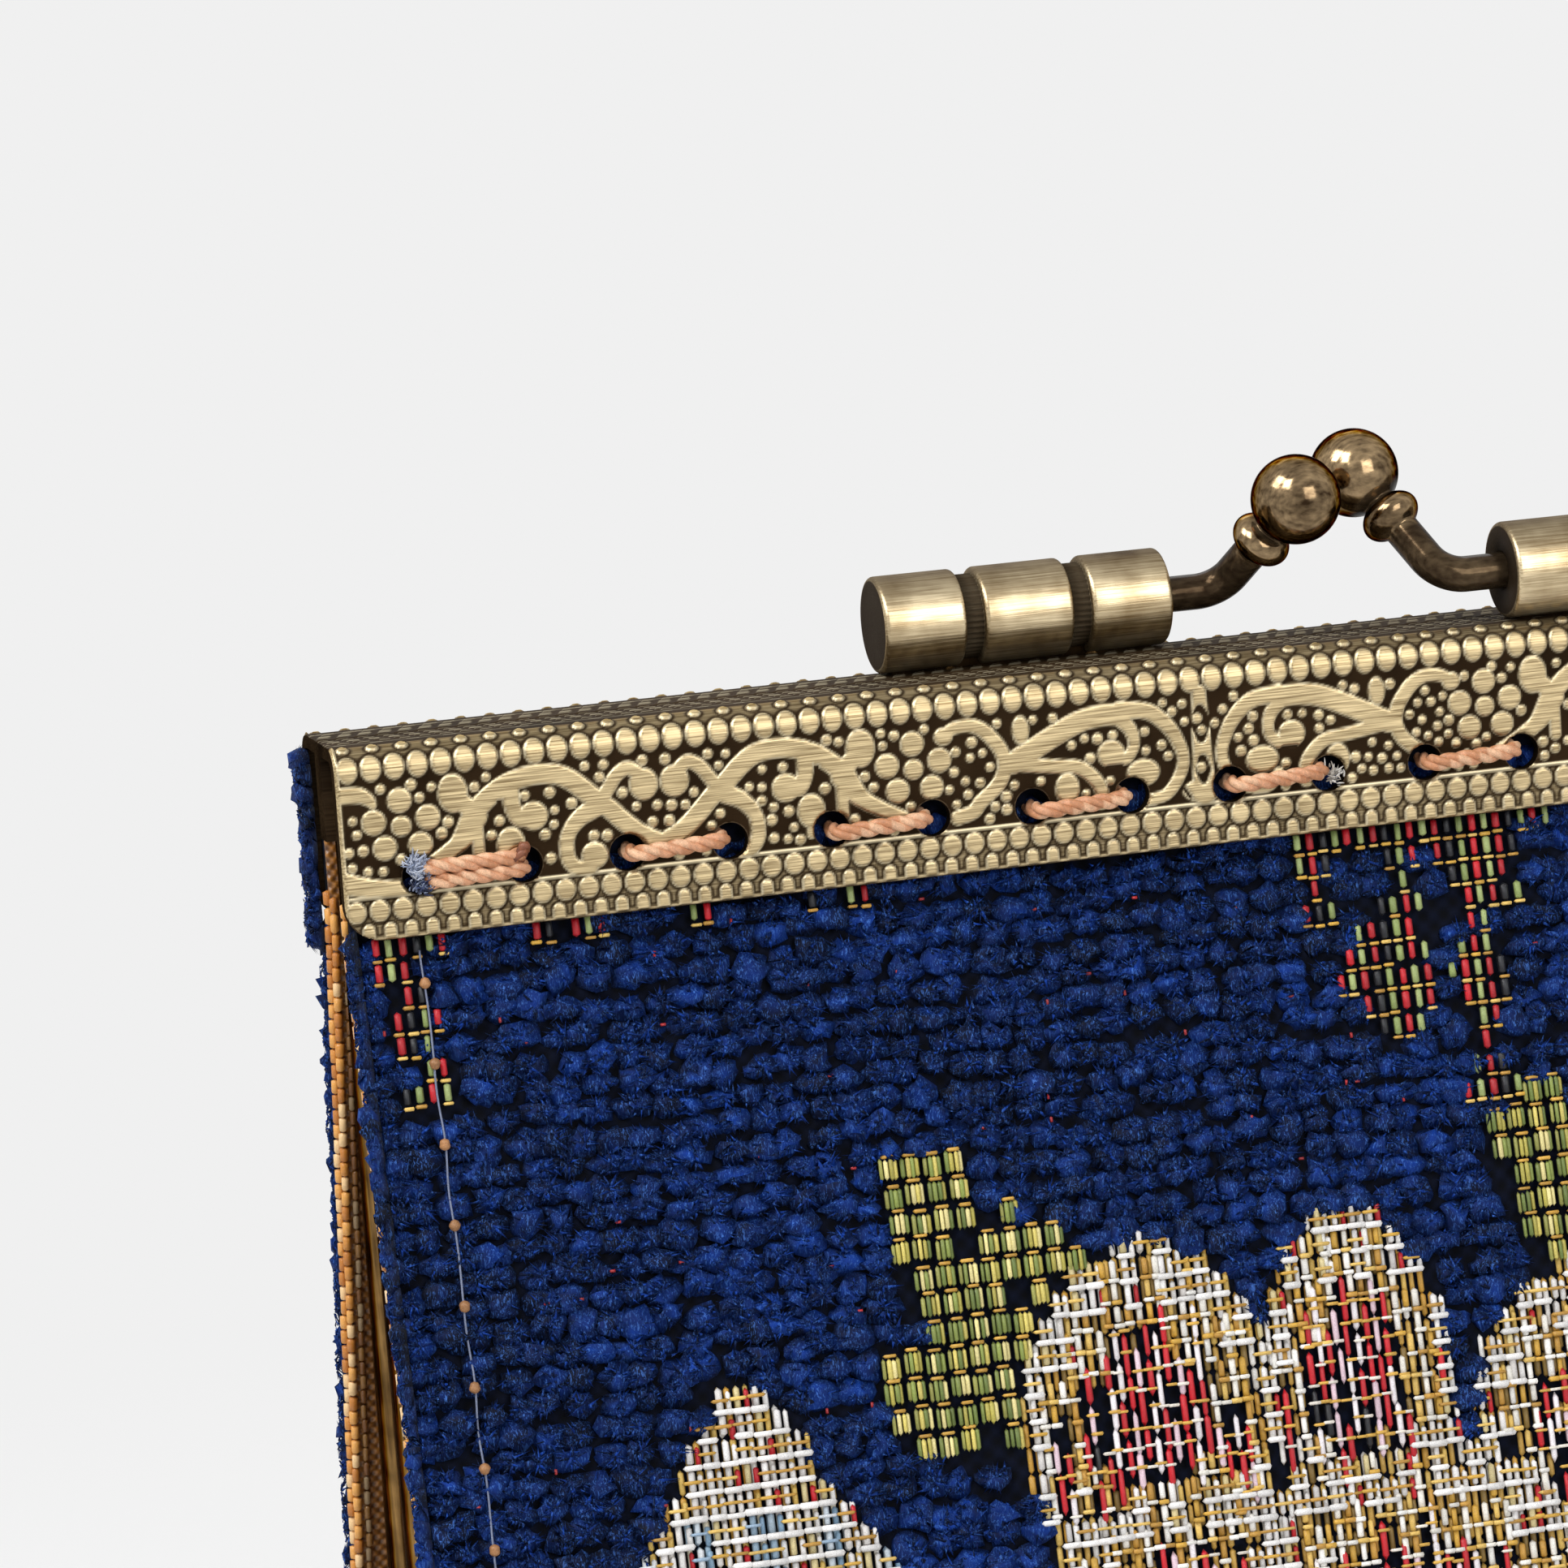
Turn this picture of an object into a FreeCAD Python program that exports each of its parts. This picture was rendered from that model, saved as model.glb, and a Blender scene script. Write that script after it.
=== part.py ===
import FreeCAD, Part
import math
import os

import Sketcher

# Coin purse with a sewn-in bar frame and a ball clasp.
# Millimetres. The origin is under the middle of the purse on the surface that it stands on.
# +X runs along the frame to the right, the front face looks towards -Y and +Z is up.

doc = FreeCAD.newDocument("CoinPurse")

# Driving sizes

SIZES = [
    ("frame_length", 105.0, "length of the sewing frame"),
    ("purse_height", 78.0, "from the resting surface to the top of the frame"),
    ("channel_height", 9.3, "height of the decorated face of each channel"),
    ("channel_depth", 3.9, "from the parting plane to a channel's decorated face"),
    ("sheet", 0.6, "thickness of the channels' brass sheet"),
    ("inner_wall_height", 4.8, "height of a channel's short wall at the parting plane"),
    ("parting_gap", 0.1, "gap between the two channels when they are shut"),
    ("channel_bend", 1.2, "outside radius of the bend over the top of a channel"),
    ("corner_radius", 1.8, "rounding of the lower corners of a channel"),
    ("hole_count", 20, "sewing holes in each channel"),
    ("hole_pitch", 5.125, "distance from one sewing hole to the next"),
    ("hole_radius", 0.9, "radius of a sewing hole"),
    ("hole_drop", 6.4, "from the top of the frame to the row of holes"),
    ("cloth_thickness", 1.0, "outer cloth with its pile pressed down"),
    ("board_thickness", 0.6, "stiffening board inside each panel"),
    ("lining_thickness", 0.3, "lining cloth"),
    ("layer_gap", 0.05, "gap between layers of a panel, and to its channel"),
    ("panel_inset", 0.4, "from the end of the frame to the side edge of a panel"),
    ("panel_lean", 12.5, "slope of a panel below the frame, in degrees"),
    ("panel_top_gap", 1.6, "from the top of the frame to the top edge of a panel"),
    ("panel_foot", 18.0, "height where the stiff panels end and the soft base begins"),
    ("base_radius", 9.0, "outer rounding of the soft base"),
    ("seam_gap", 0.3, "gap between the base and the foot of each panel"),
    ("seam_inset", 3.2, "from the side edge of a panel to its seam"),
    ("seam_pitch", 3.9, "distance from one seam knot to the next"),
    ("seam_knot_radius", 0.28, "radius of a seam knot"),
    ("leg_thickness", 1.0, "thickness of a frame leg across the purse"),
    ("leg_inset", 0.6, "from the side edge of a panel to the outer face of a leg"),
    ("leg_top_width", 1.75, "width of a leg just below the frame"),
    ("leg_foot_width", 3.0, "width of a leg above its hinge"),
    ("leg_spread", 1.5, "how far a leg bows away from the parting plane"),
    ("leg_gap", 0.1, "from the parting plane to a leg just below the frame"),
    ("leg_bow_height", 24.0, "height where a leg turns in to its hinge"),
    ("leg_lap_height", 17.5, "height where a front leg steps in behind the back leg's ear"),
    ("hinge_height", 8.0, "height of the hinge axis"),
    ("ear_radius", 2.2, "radius of a hinge ear"),
    ("ear_gap", 0.05, "gap between two hinge ears"),
    ("rivet_radius", 0.75, "radius of a hinge rivet's shank"),
    ("rivet_fit", 0.04, "running clearance round a rivet's shank"),
    ("rivet_head_radius", 1.5, "radius of a rivet's head"),
    ("rivet_head_height", 0.5, "height of a rivet's head"),
    ("gusset_thickness", 0.35, "pleated side cloth"),
    ("gusset_fold", 7.0, "how far the side pleat folds into the purse"),
    ("gusset_gap", 0.3, "gap between the side pleat and its neighbours"),
    ("gusset_top_drop", 14.0, "from the top of the frame to the top of a side pleat"),
    ("clasp_offset", -0.5, "the clasp's middle sits this far from the frame's middle"),
    ("barrel_radius", 2.42, "radius of a clasp barrel"),
    ("barrel_gap", 0.12, "gap between a barrel and the frame that it is riveted to"),
    ("barrel_end_length", 4.2, "length of a barrel's two end segments"),
    ("barrel_middle_length", 4.6, "length of a barrel's middle segment"),
    ("groove_width", 0.95, "width of a barrel's grooves"),
    ("groove_depth", 0.38, "depth of a barrel's grooves"),
    ("barrel_spread", 8.4, "from the clasp's middle to the mouth of each barrel"),
    ("barrel_pin_radius", 0.5, "radius of the rivets that hold a barrel"),
    ("barrel_pin_reach", 1.4, "how far these rivets go up into the barrel"),
    ("barrel_pin_head", 0.4, "height of their heads inside the channel"),
    ("barrel_pin_head_radius", 0.72, "radius of their heads"),
    ("rod_radius", 0.9, "radius of a knob's arm"),
    ("rod_root", 1.8, "length of the arm inside the barrel"),
    ("rod_fit", 0.09, "clearance round the arm inside the barrel"),
    ("rod_straight", 1.9, "straight length of the arm outside the barrel"),
    ("rod_bend", 2.0, "radius of the arm's bend"),
    ("collar_radius", 1.55, "radius of the round collar under a ball"),
    ("collar_drop", 3.0, "from the middle of a ball to the middle of its collar"),
    ("ball_radius", 2.25, "radius of a clasp ball"),
    ("left_ball_reach", 2.25, "from the clasp's middle to the left ball"),
    ("right_ball_reach", 2.29, "from the clasp's middle to the right ball"),
    ("ball_cross", 2.0, "from the parting plane to the middle of a ball"),
    ("left_ball_height", 7.15, "from the top of the frame to the left ball"),
    ("right_ball_height", 7.7, "from the top of the frame to the right ball"),
    ("thread_radius", 0.42, "radius of the waxed sewing thread"),
    ("thread_gap", 0.06, "gap between the sewing thread and what it lies on"),
]

sheet = doc.addObject("Spreadsheet::Sheet", "Sizes")
for row, (alias, number, note) in enumerate(SIZES, start=1):
    sheet.set(f"A{row}", alias)
    sheet.set(f"B{row}", str(number))
    sheet.set(f"C{row}", note)
    sheet.setAlias(f"B{row}", alias)
doc.recompute()


class Size:
    """A number together with the sheet expression that gives it."""

    def __init__(self, value, text):
        self.value = float(value)
        self.text = text

    def __add__(self, other):
        other = as_size(other)
        return Size(self.value + other.value, f"({self.text} + {other.text})")

    def __sub__(self, other):
        other = as_size(other)
        return Size(self.value - other.value, f"({self.text} - {other.text})")

    def __mul__(self, other):
        other = as_size(other)
        return Size(self.value * other.value, f"({self.text} * {other.text})")

    def __truediv__(self, other):
        other = as_size(other)
        return Size(self.value / other.value, f"({self.text} / {other.text})")

    def __neg__(self):
        return Size(-self.value, f"(0 - {self.text})")

    def __radd__(self, other):
        return as_size(other) + self

    def __rsub__(self, other):
        return as_size(other) - self

    def __rmul__(self, other):
        return as_size(other) * self


def as_size(number):
    """A plain number as a Size, and a Size as it is."""
    if isinstance(number, Size):
        return number
    return Size(number, f"({float(number):.6f})")


def root(number):
    """The square root of a Size."""
    return Size(math.sqrt(number.value), f"sqrt({number.text})")


def tangent(angle):
    """The tangent of a Size in degrees."""
    return Size(math.tan(math.radians(angle.value)), f"tan({angle.text})")


def cell(alias):
    """One driving size, bound to its cell."""
    return Size(sheet.get(alias), f"Sizes.{alias}")


FRONT, BACK = -1, 1
LEFT, RIGHT = -1, 1
SIDES = {"front": FRONT, "back": BACK}
ENDS = {"left": LEFT, "right": RIGHT}

# Sizes that follow from the driving sizes

top = cell("purse_height")
frame_half = cell("frame_length") / 2
bar_foot = top - cell("channel_height")
panel_half = frame_half - cell("panel_inset")
panel_top = top - cell("panel_top_gap")
leg_outer = panel_half - cell("leg_inset")
leg_inner = leg_outer - cell("leg_thickness")
ear_inner = leg_inner - cell("ear_gap") - cell("leg_thickness")
board_half = panel_half - cell("seam_inset") - cell("seam_knot_radius") - cell("layer_gap")
gusset_half = ear_inner - cell("rivet_head_height") - cell("gusset_gap")
panel_face = cell("channel_depth") - cell("sheet") - cell("layer_gap")
hinge_height = cell("hinge_height")
channel_middle = cell("channel_depth") / 2
barrel_axis = top + cell("barrel_radius") + cell("barrel_gap")


# Ways of building

def new_body(label):
    """An empty body with the name of its piece."""
    body = doc.addObject("PartDesign::Body", label)
    body.Label = label
    return body


def bind(thing, name, size):
    """Ties one property of an object to the sheet."""
    thing.setExpression(name, as_size(size).text)


def place(thing, x=0, y=0, z=0):
    """Moves an object to a point that stays bound to the sheet."""
    for name, size in (("x", x), ("y", y), ("z", z)):
        bind(thing, f"Placement.Base.{name}", size)


def new_sketch(body, name, role, offset=0):
    """A sketch on one of the body's own planes, moved along that plane's normal."""
    plane = [item for item in body.Origin.OriginFeatures if item.Role == role][0]
    sketch = body.newObject("Sketcher::SketchObject", name)
    sketch.AttachmentSupport = (plane, [""])
    sketch.MapMode = "FlatFace"
    bind(sketch, "AttachmentOffset.Base.z", offset)
    return sketch


def pin_point(sketch, geometry, end, point):
    """Holds one point of a sketch at two sizes from the sheet."""
    for kind, size in zip(("DistanceX", "DistanceY"), point):
        size = as_size(size)
        number = sketch.addConstraint(Sketcher.Constraint(kind, -1, 1, geometry, end, size.value))
        sketch.setExpression(f"Constraints[{number}]", size.text)


def draw_outline(sketch, points):
    """A closed outline of straight edges through points that are bound to the sheet."""
    places = [FreeCAD.Vector(as_size(a).value, as_size(b).value, 0) for a, b in points]
    count = len(points)
    first = sketch.GeometryCount
    for index in range(count):
        edge = Part.LineSegment(places[index], places[(index + 1) % count])
        sketch.addGeometry(edge, False)
    for index in range(count):
        following = first + (index + 1) % count
        sketch.addConstraint(Sketcher.Constraint("Coincident", first + index, 2, following, 1))
        pin_point(sketch, first + index, 1, points[index])


def draw_circle(sketch, centre, radius):
    """A circle whose centre and radius are bound to the sheet."""
    middle = FreeCAD.Vector(as_size(centre[0]).value, as_size(centre[1]).value, 0)
    circle = Part.Circle(middle, FreeCAD.Vector(0, 0, 1), as_size(radius).value)
    number = sketch.addGeometry(circle, False)
    size = Sketcher.Constraint("Radius", number, as_size(radius).value)
    sketch.setExpression(f"Constraints[{sketch.addConstraint(size)}]", as_size(radius).text)
    pin_point(sketch, number, 3, centre)


def pad(body, sketch, length, both_ways=False):
    """Grows a sketch into a solid along its normal."""
    feature = body.newObject("PartDesign::Pad", f"{sketch.Name}Pad")
    feature.Profile = sketch
    if both_ways:
        feature.SideType = "Symmetric"
    bind(feature, "Length", length)
    return feature


def cut_both_ways(body, sketch, length):
    """Cuts a sketch through the body on both sides of its plane."""
    feature = body.newObject("PartDesign::Pocket", f"{sketch.Name}Cut")
    feature.Profile = sketch
    feature.SideType = "Symmetric"
    bind(feature, "Length", length)
    return feature


def round_edges(body, base, radius, chosen):
    """Rounds the edges of a feature for which chosen is true."""
    doc.recompute()
    edges = [f"Edge{n}" for n, edge in enumerate(base.Shape.Edges, start=1) if chosen(edge)]
    feature = body.newObject("PartDesign::Fillet", f"{base.Name}Round")
    feature.Base = (base, edges)
    bind(feature, "Radius", radius)
    return feature


def runs_along(edge, axis):
    """True for a straight edge along X, Y or Z, given as 0, 1 or 2."""
    start, finish = edge.Vertexes[0].Point, edge.Vertexes[-1].Point
    others = [abs(start[n] - finish[n]) for n in range(3) if n != axis]
    return max(others) < 1e-6 < abs(start[axis] - finish[axis])


def near(edge, axis, value):
    """True for an edge whose middle lies at a given X, Y or Z."""
    return abs(edge.BoundBox.Center[axis] - value) < 1e-4


def slab(body, name, outline, left, right):
    """A solid with one outline in Y and Z, from one X to another."""
    sketch = new_sketch(body, name, "YZ_Plane", left)
    draw_outline(sketch, outline)
    return pad(body, sketch, as_size(right) - left)


def turned(label, outline, axis):
    """A round solid about a line along X, from an outline of X and radius."""
    body = new_body(label)
    sketch = new_sketch(body, f"{label}_outline", "XZ_Plane")
    draw_outline(sketch, outline)
    feature = body.newObject("PartDesign::Revolution", f"{label}_turn")
    feature.Profile = sketch
    feature.ReferenceAxis = (sketch, ["H_Axis"])
    feature.Angle = 360
    place(body, 0, axis[0], axis[1])
    return body


# Channels of the frame

def build_channel(name, side):
    """A brass channel: decorated face, rounded top and short wall at the parting plane."""
    body = new_body(f"{name}_channel")
    face = side * cell("channel_depth")
    face_inside = side * (cell("channel_depth") - cell("sheet"))
    wall = side * (cell("parting_gap") / 2)
    wall_inside = side * (cell("parting_gap") / 2 + cell("sheet"))
    wall_foot = top - cell("inner_wall_height")
    outline = [
        (face, bar_foot), (face, top), (wall, top), (wall, wall_foot),
        (wall_inside, wall_foot), (wall_inside, top - cell("sheet")),
        (face_inside, top - cell("sheet")), (face_inside, bar_foot),
    ]
    section = slab(body, f"{name}_section", outline, -frame_half, frame_half)
    outer = round_edges(
        body, section, cell("channel_bend"),
        lambda edge: runs_along(edge, 0) and near(edge, 1, face.value) and near(edge, 2, top.value))
    inner = round_edges(
        body, outer, cell("channel_bend") - cell("sheet"),
        lambda edge: runs_along(edge, 0) and near(edge, 1, face_inside.value)
        and near(edge, 2, (top - cell("sheet")).value))
    round_edges(
        body, inner, cell("corner_radius"),
        lambda edge: runs_along(edge, 1) and near(edge, 2, bar_foot.value))
    holes = new_sketch(body, f"{name}_hole", "XZ_Plane")
    first_hole = -cell("hole_pitch") * (cell("hole_count") - 1) / 2
    draw_circle(holes, (first_hole, top - cell("hole_drop")), cell("hole_radius"))
    pocket = cut_both_ways(body, holes, 4 * cell("channel_depth"))
    row = body.newObject("PartDesign::LinearPattern", f"{name}_hole_row")
    row.Originals = [pocket]
    row.Direction = (holes, ["H_Axis"])
    bind(row, "Length", cell("hole_pitch") * (cell("hole_count") - 1))
    bind(row, "Occurrences", cell("hole_count"))
    body.Tip = row
    cut_pin_holes(body, name, side)


def pin_places(side):
    """The X of the two rivets that hold the barrel on one channel."""
    barrel = barrel_span(side)
    quarter = (barrel[1] - barrel[0]) / 4
    return [barrel[0] + quarter, barrel[1] - quarter]


def barrel_span(side):
    """The two ends in X of the barrel on one channel: the left one is on the back channel."""
    length = 2 * cell("barrel_end_length") + cell("barrel_middle_length") + 2 * cell("groove_width")
    if side == BACK:
        mouth = cell("clasp_offset") - cell("barrel_spread")
        return mouth - length, mouth
    mouth = cell("clasp_offset") + cell("barrel_spread")
    return mouth, mouth + length


def cut_pin_holes(body, name, side):
    """Holes through the top of a channel for the rivets that hold its barrel."""
    sketch = new_sketch(body, f"{name}_pin_holes", "XY_Plane", top)
    for x in pin_places(side):
        draw_circle(sketch, (x, side * channel_middle), cell("barrel_pin_radius") + cell("rivet_fit"))
    cut_both_ways(body, sketch, 4 * cell("sheet"))


for name, side in SIDES.items():
    build_channel(name, side)


# Legs of the frame and their hinges

def build_leg(name, side, end_name, end):
    """A flat brass leg that hangs from its channel, bows out and ends in a hinge ear."""
    label = f"{name}_leg_{end_name}"
    body = new_body(label)
    tongue = side * (cell("parting_gap") / 2 + cell("sheet"))
    near_top = side * cell("leg_gap")
    far_top = side * (cell("leg_gap") + cell("leg_top_width"))
    near_bow = side * cell("leg_spread")
    far_bow = side * (cell("leg_spread") + cell("leg_foot_width"))
    neck = cell("ear_radius") * 0.7
    shoulder = top - cell("inner_wall_height") - cell("layer_gap")
    strip_foot = cell("leg_lap_height") if side == FRONT else hinge_height
    share = (strip_foot - hinge_height) / (cell("leg_bow_height") - hinge_height)
    near_foot = side * (share * (cell("leg_spread") + neck) - neck)
    far_foot = side * (share * (cell("leg_spread") + cell("leg_foot_width") - neck) + neck)
    strip = [
        (tongue, top - cell("sheet")), (tongue, shoulder), (near_top, shoulder), (near_top, bar_foot),
        (near_bow, cell("leg_bow_height")), (near_foot, strip_foot),
        (far_foot, strip_foot), (far_bow, cell("leg_bow_height")),
        (far_top, bar_foot), (far_top, top - cell("sheet")),
    ]
    outer_layer = min(end * leg_outer, end * leg_inner, key=lambda size: size.value)
    slab(body, f"{label}_strip", strip, outer_layer, outer_layer + cell("leg_thickness"))
    ear_layer = outer_layer
    if side == FRONT:
        ear_layer = min(end * (leg_inner - cell("ear_gap")), end * ear_inner, key=lambda size: size.value)
        overlap = (cell("leg_bow_height") - strip_foot) / 2
        lap_share = (strip_foot + overlap - hinge_height) / (cell("leg_bow_height") - hinge_height)
        near_lap = side * (lap_share * (cell("leg_spread") + neck) - neck)
        far_lap = side * (lap_share * (cell("leg_spread") + cell("leg_foot_width") - neck) + neck)
        lap = [
            (near_lap, strip_foot + overlap), (near_foot, strip_foot),
            (far_foot, strip_foot), (far_lap, strip_foot + overlap),
        ]
        reach = min(end * leg_outer, end * ear_inner, key=lambda size: size.value)
        slab(body, f"{label}_lap", lap, reach, reach + leg_outer - ear_inner)
        tail = [
            (near_foot, strip_foot), (side * -neck, hinge_height),
            (side * neck, hinge_height), (far_foot, strip_foot),
        ]
        slab(body, f"{label}_tail", tail, ear_layer, ear_layer + cell("leg_thickness"))
    ear = new_sketch(body, f"{label}_ear", "YZ_Plane", ear_layer)
    draw_circle(ear, (0, hinge_height), cell("ear_radius"))
    pad(body, ear, cell("leg_thickness"))
    bore = new_sketch(body, f"{label}_bore", "YZ_Plane", ear_layer)
    draw_circle(bore, (0, hinge_height), cell("rivet_radius") + cell("rivet_fit"))
    cut_both_ways(body, bore, 6 * cell("leg_thickness"))


def build_hinge_rivet(end_name, end):
    """A rivet through the two ears of one hinge, with a head on each side."""
    shank = cell("rivet_radius")
    head = cell("rivet_head_radius")
    shoulder = cell("rivet_head_radius") * 0.6
    outer = leg_outer + cell("ear_gap")
    inner = ear_inner - cell("ear_gap")
    ends = [inner - cell("rivet_head_height"), inner, outer, outer + cell("rivet_head_height")]
    if end == LEFT:
        ends = [-size for size in reversed(ends)]
    outline = [
        (ends[0], 0), (ends[0], shoulder), (ends[1], head), (ends[1], shank),
        (ends[2], shank), (ends[2], head), (ends[3], shoulder), (ends[3], 0),
    ]
    turned(f"hinge_rivet_{end_name}", outline, (0, hinge_height))


for end_name, end in ENDS.items():
    for name, side in SIDES.items():
        build_leg(name, side, end_name, end)
    build_hinge_rivet(end_name, end)


# Barrels, their rivets and the ball knobs

def build_barrel(end_name, side, end):
    """A grooved barrel on its channel, bored at the mouth for the knob's arm."""
    left, right = barrel_span(side)
    radius = cell("barrel_radius")
    waist = cell("barrel_radius") - cell("groove_depth")
    bore = cell("rod_radius") + cell("rod_fit")
    bore_depth = cell("rod_root") + cell("rod_fit") * 2
    steps = [left, left + cell("barrel_end_length")]
    steps.append(steps[-1] + cell("groove_width"))
    steps.append(steps[-1] + cell("barrel_middle_length"))
    steps.append(steps[-1] + cell("groove_width"))
    steps.append(right)
    outline = [(steps[0], radius)]
    for index, place_x in enumerate(steps[1:-1]):
        levels = (radius, waist) if index % 2 == 0 else (waist, radius)
        outline += [(place_x, levels[0]), (place_x, levels[1])]
    outline.append((right, radius))
    if end == LEFT:
        outline += [(right, bore), (right - bore_depth, bore), (right - bore_depth, 0), (left, 0)]
    else:
        outline += [(right, 0), (left + bore_depth, 0), (left + bore_depth, bore), (left, bore)]
    body = turned(f"barrel_{end_name}", outline, (side * channel_middle, barrel_axis))
    pins = new_sketch(body, f"barrel_{end_name}_pins", "XY_Plane", -cell("barrel_radius"))
    for x in pin_places(side):
        draw_circle(pins, (x, 0), cell("barrel_pin_radius") + cell("rivet_fit"))
    depth = cell("barrel_pin_reach") + cell("rivet_fit")
    cut_both_ways(body, pins, 2 * depth)


def build_barrel_rivets(end_name, side):
    """The two rivets that hold a barrel: a head inside the channel and a shank into the barrel."""
    body = new_body(f"barrel_rivets_{end_name}")
    head_top = top - cell("sheet")
    shank_top = barrel_axis - cell("barrel_radius") + cell("barrel_pin_reach")
    layers = [
        ("head", head_top - cell("barrel_pin_head"), head_top, cell("barrel_pin_head_radius")),
        ("shank", head_top, shank_top, cell("barrel_pin_radius")),
    ]
    for part, low, high, radius in layers:
        sketch = new_sketch(body, f"barrel_rivets_{end_name}_{part}", "XY_Plane", low)
        for x in pin_places(side):
            draw_circle(sketch, (x, side * channel_middle), radius)
        pad(body, sketch, high - low)


def build_knob(end_name, side, end, reach, height):
    """An arm that leaves its barrel, bends up across the parting plane and ends in a ball."""
    label = f"knob_{end_name}"
    body = new_body(label)
    across = cell("barrel_spread") - reach
    sideways = channel_middle + cell("ball_cross")
    upward = top + height - barrel_axis
    slant = root(sideways * sideways + upward * upward)
    bend = cell("rod_bend")
    path = new_sketch(body, f"{label}_path", "XZ_Plane")
    start = FreeCAD.Vector(-cell("rod_root").value, 0, 0)
    knee = FreeCAD.Vector(cell("rod_straight").value, 0, 0)
    tip = FreeCAD.Vector(across.value, slant.value, 0)
    centre = FreeCAD.Vector(knee.x, bend.value, 0)
    toward = tip - centre
    heading = math.atan2(toward.y, toward.x) - math.acos(bend.value / toward.Length)
    touch = centre + FreeCAD.Vector(math.cos(heading), math.sin(heading), 0) * bend.value
    half_way = (heading - math.pi / 2) / 2
    crown = centre + FreeCAD.Vector(math.cos(half_way), math.sin(half_way), 0) * bend.value
    path.addGeometry(Part.LineSegment(start, knee), False)
    path.addGeometry(Part.Arc(knee, crown, touch), False)
    path.addGeometry(Part.LineSegment(touch, tip), False)
    path.addConstraint(Sketcher.Constraint("Tangent", 0, 2, 1, 1))
    path.addConstraint(Sketcher.Constraint("Tangent", 1, 2, 2, 1))
    size = path.addConstraint(Sketcher.Constraint("Radius", 1, bend.value))
    path.setExpression(f"Constraints[{size}]", bend.text)
    pin_point(path, 0, 1, (-cell("rod_root"), 0))
    pin_point(path, 0, 2, (cell("rod_straight"), 0))
    pin_point(path, 2, 2, (across, slant))
    section = new_sketch(body, f"{label}_section", "YZ_Plane", -cell("rod_root"))
    draw_circle(section, (0, 0), cell("rod_radius"))
    doc.recompute()
    arm = body.newObject("PartDesign::AdditivePipe", f"{label}_arm")
    arm.Profile = section
    arm.Spine = (path, ["Edge1", "Edge2", "Edge3"])
    arm.Transition = "Round corner"
    run = (tip - touch).normalize()
    spots = [
        ("collar", tip - run * cell("collar_drop").value, cell("collar_radius")),
        ("ball", tip, cell("ball_radius")),
    ]
    for part, spot, radius in spots:
        sphere = body.newObject("PartDesign::AdditiveSphere", f"{label}_{part}")
        sphere.MapMode = "Deactivated"
        bind(sphere, "Radius", radius)
        sphere.Placement = FreeCAD.Placement(FreeCAD.Vector(spot.x, 0, spot.y), FreeCAD.Rotation())
    lean = FreeCAD.Rotation(FreeCAD.Vector(1, 0, 0), math.degrees(math.atan2(sideways.value, upward.value)))
    turn = FreeCAD.Rotation(FreeCAD.Vector(0, 0, 1), 0 if end == LEFT else 180)
    body.Placement = FreeCAD.Placement(FreeCAD.Vector(), turn * lean)
    mouth = cell("clasp_offset") + end * cell("barrel_spread")
    place(body, mouth, side * channel_middle, barrel_axis)


CLASP = [
    ("left", BACK, LEFT, cell("left_ball_reach"), cell("left_ball_height")),
    ("right", FRONT, RIGHT, cell("right_ball_reach"), cell("right_ball_height")),
]
for end_name, side, end, reach, height in CLASP:
    build_barrel(end_name, side, end)
    build_barrel_rivets(end_name, side)
    build_knob(end_name, side, end, reach, height)


# Panels: outer cloth, board and lining

def panel_outline(side, start, finish):
    """The side view of one layer of a panel, between two depths behind its face."""
    lean = tangent(cell("panel_lean"))
    drop = bar_foot - cell("panel_foot")
    near_y = side * (panel_face - start)
    far_y = side * (panel_face - finish)
    out = side * (lean * drop)
    return [
        (near_y, panel_top), (near_y, bar_foot), (near_y + out, cell("panel_foot")),
        (far_y + out, cell("panel_foot")), (far_y, bar_foot), (far_y, panel_top),
    ]


def build_cloth(name, side):
    """The outer cloth of one panel."""
    body = new_body(f"{name}_cloth")
    slab(body, f"{name}_cloth_side", panel_outline(side, 0, cell("cloth_thickness")), -panel_half, panel_half)


board_start = cell("cloth_thickness") + cell("layer_gap")
lining_start = board_start + cell("board_thickness") + cell("layer_gap")


def build_board(name, side):
    """The stiffening board between the seams of one panel."""
    body = new_body(f"{name}_board")
    outline = panel_outline(side, board_start, board_start + cell("board_thickness"))
    slab(body, f"{name}_board_side", outline, -board_half, board_half)


def build_lining(name, side):
    """The lining of one panel: raised over the board and sewn down beside it."""
    body = new_body(f"{name}_lining")
    step = board_half + cell("layer_gap")
    web = step + cell("lining_thickness")
    raised = panel_outline(side, lining_start, lining_start + cell("lining_thickness"))
    flat = panel_outline(side, board_start, board_start + cell("lining_thickness"))
    joining = panel_outline(side, board_start, lining_start + cell("lining_thickness"))
    slab(body, f"{name}_lining_middle", raised, -web, web)
    slab(body, f"{name}_lining_web_left", joining, -web, -step)
    slab(body, f"{name}_lining_web_right", joining, step, web)
    slab(body, f"{name}_lining_edge_left", flat, -panel_half, -step)
    slab(body, f"{name}_lining_edge_right", flat, step, panel_half)


for name, side in SIDES.items():
    build_cloth(name, side)
    build_board(name, side)
    build_lining(name, side)


# Soft base and its lining

def base_outline(start, finish):
    """The U of one layer of the base, between two depths inside its outer face."""
    lean = tangent(cell("panel_lean"))
    foot = cell("panel_foot") - cell("seam_gap")
    wide = panel_face + lean * (bar_foot - foot)
    outer, inner = wide - start, wide - finish
    return [
        (-outer, foot), (-outer, start), (outer, start), (outer, foot),
        (inner, foot), (inner, finish), (-inner, finish), (-inner, foot),
    ]


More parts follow.
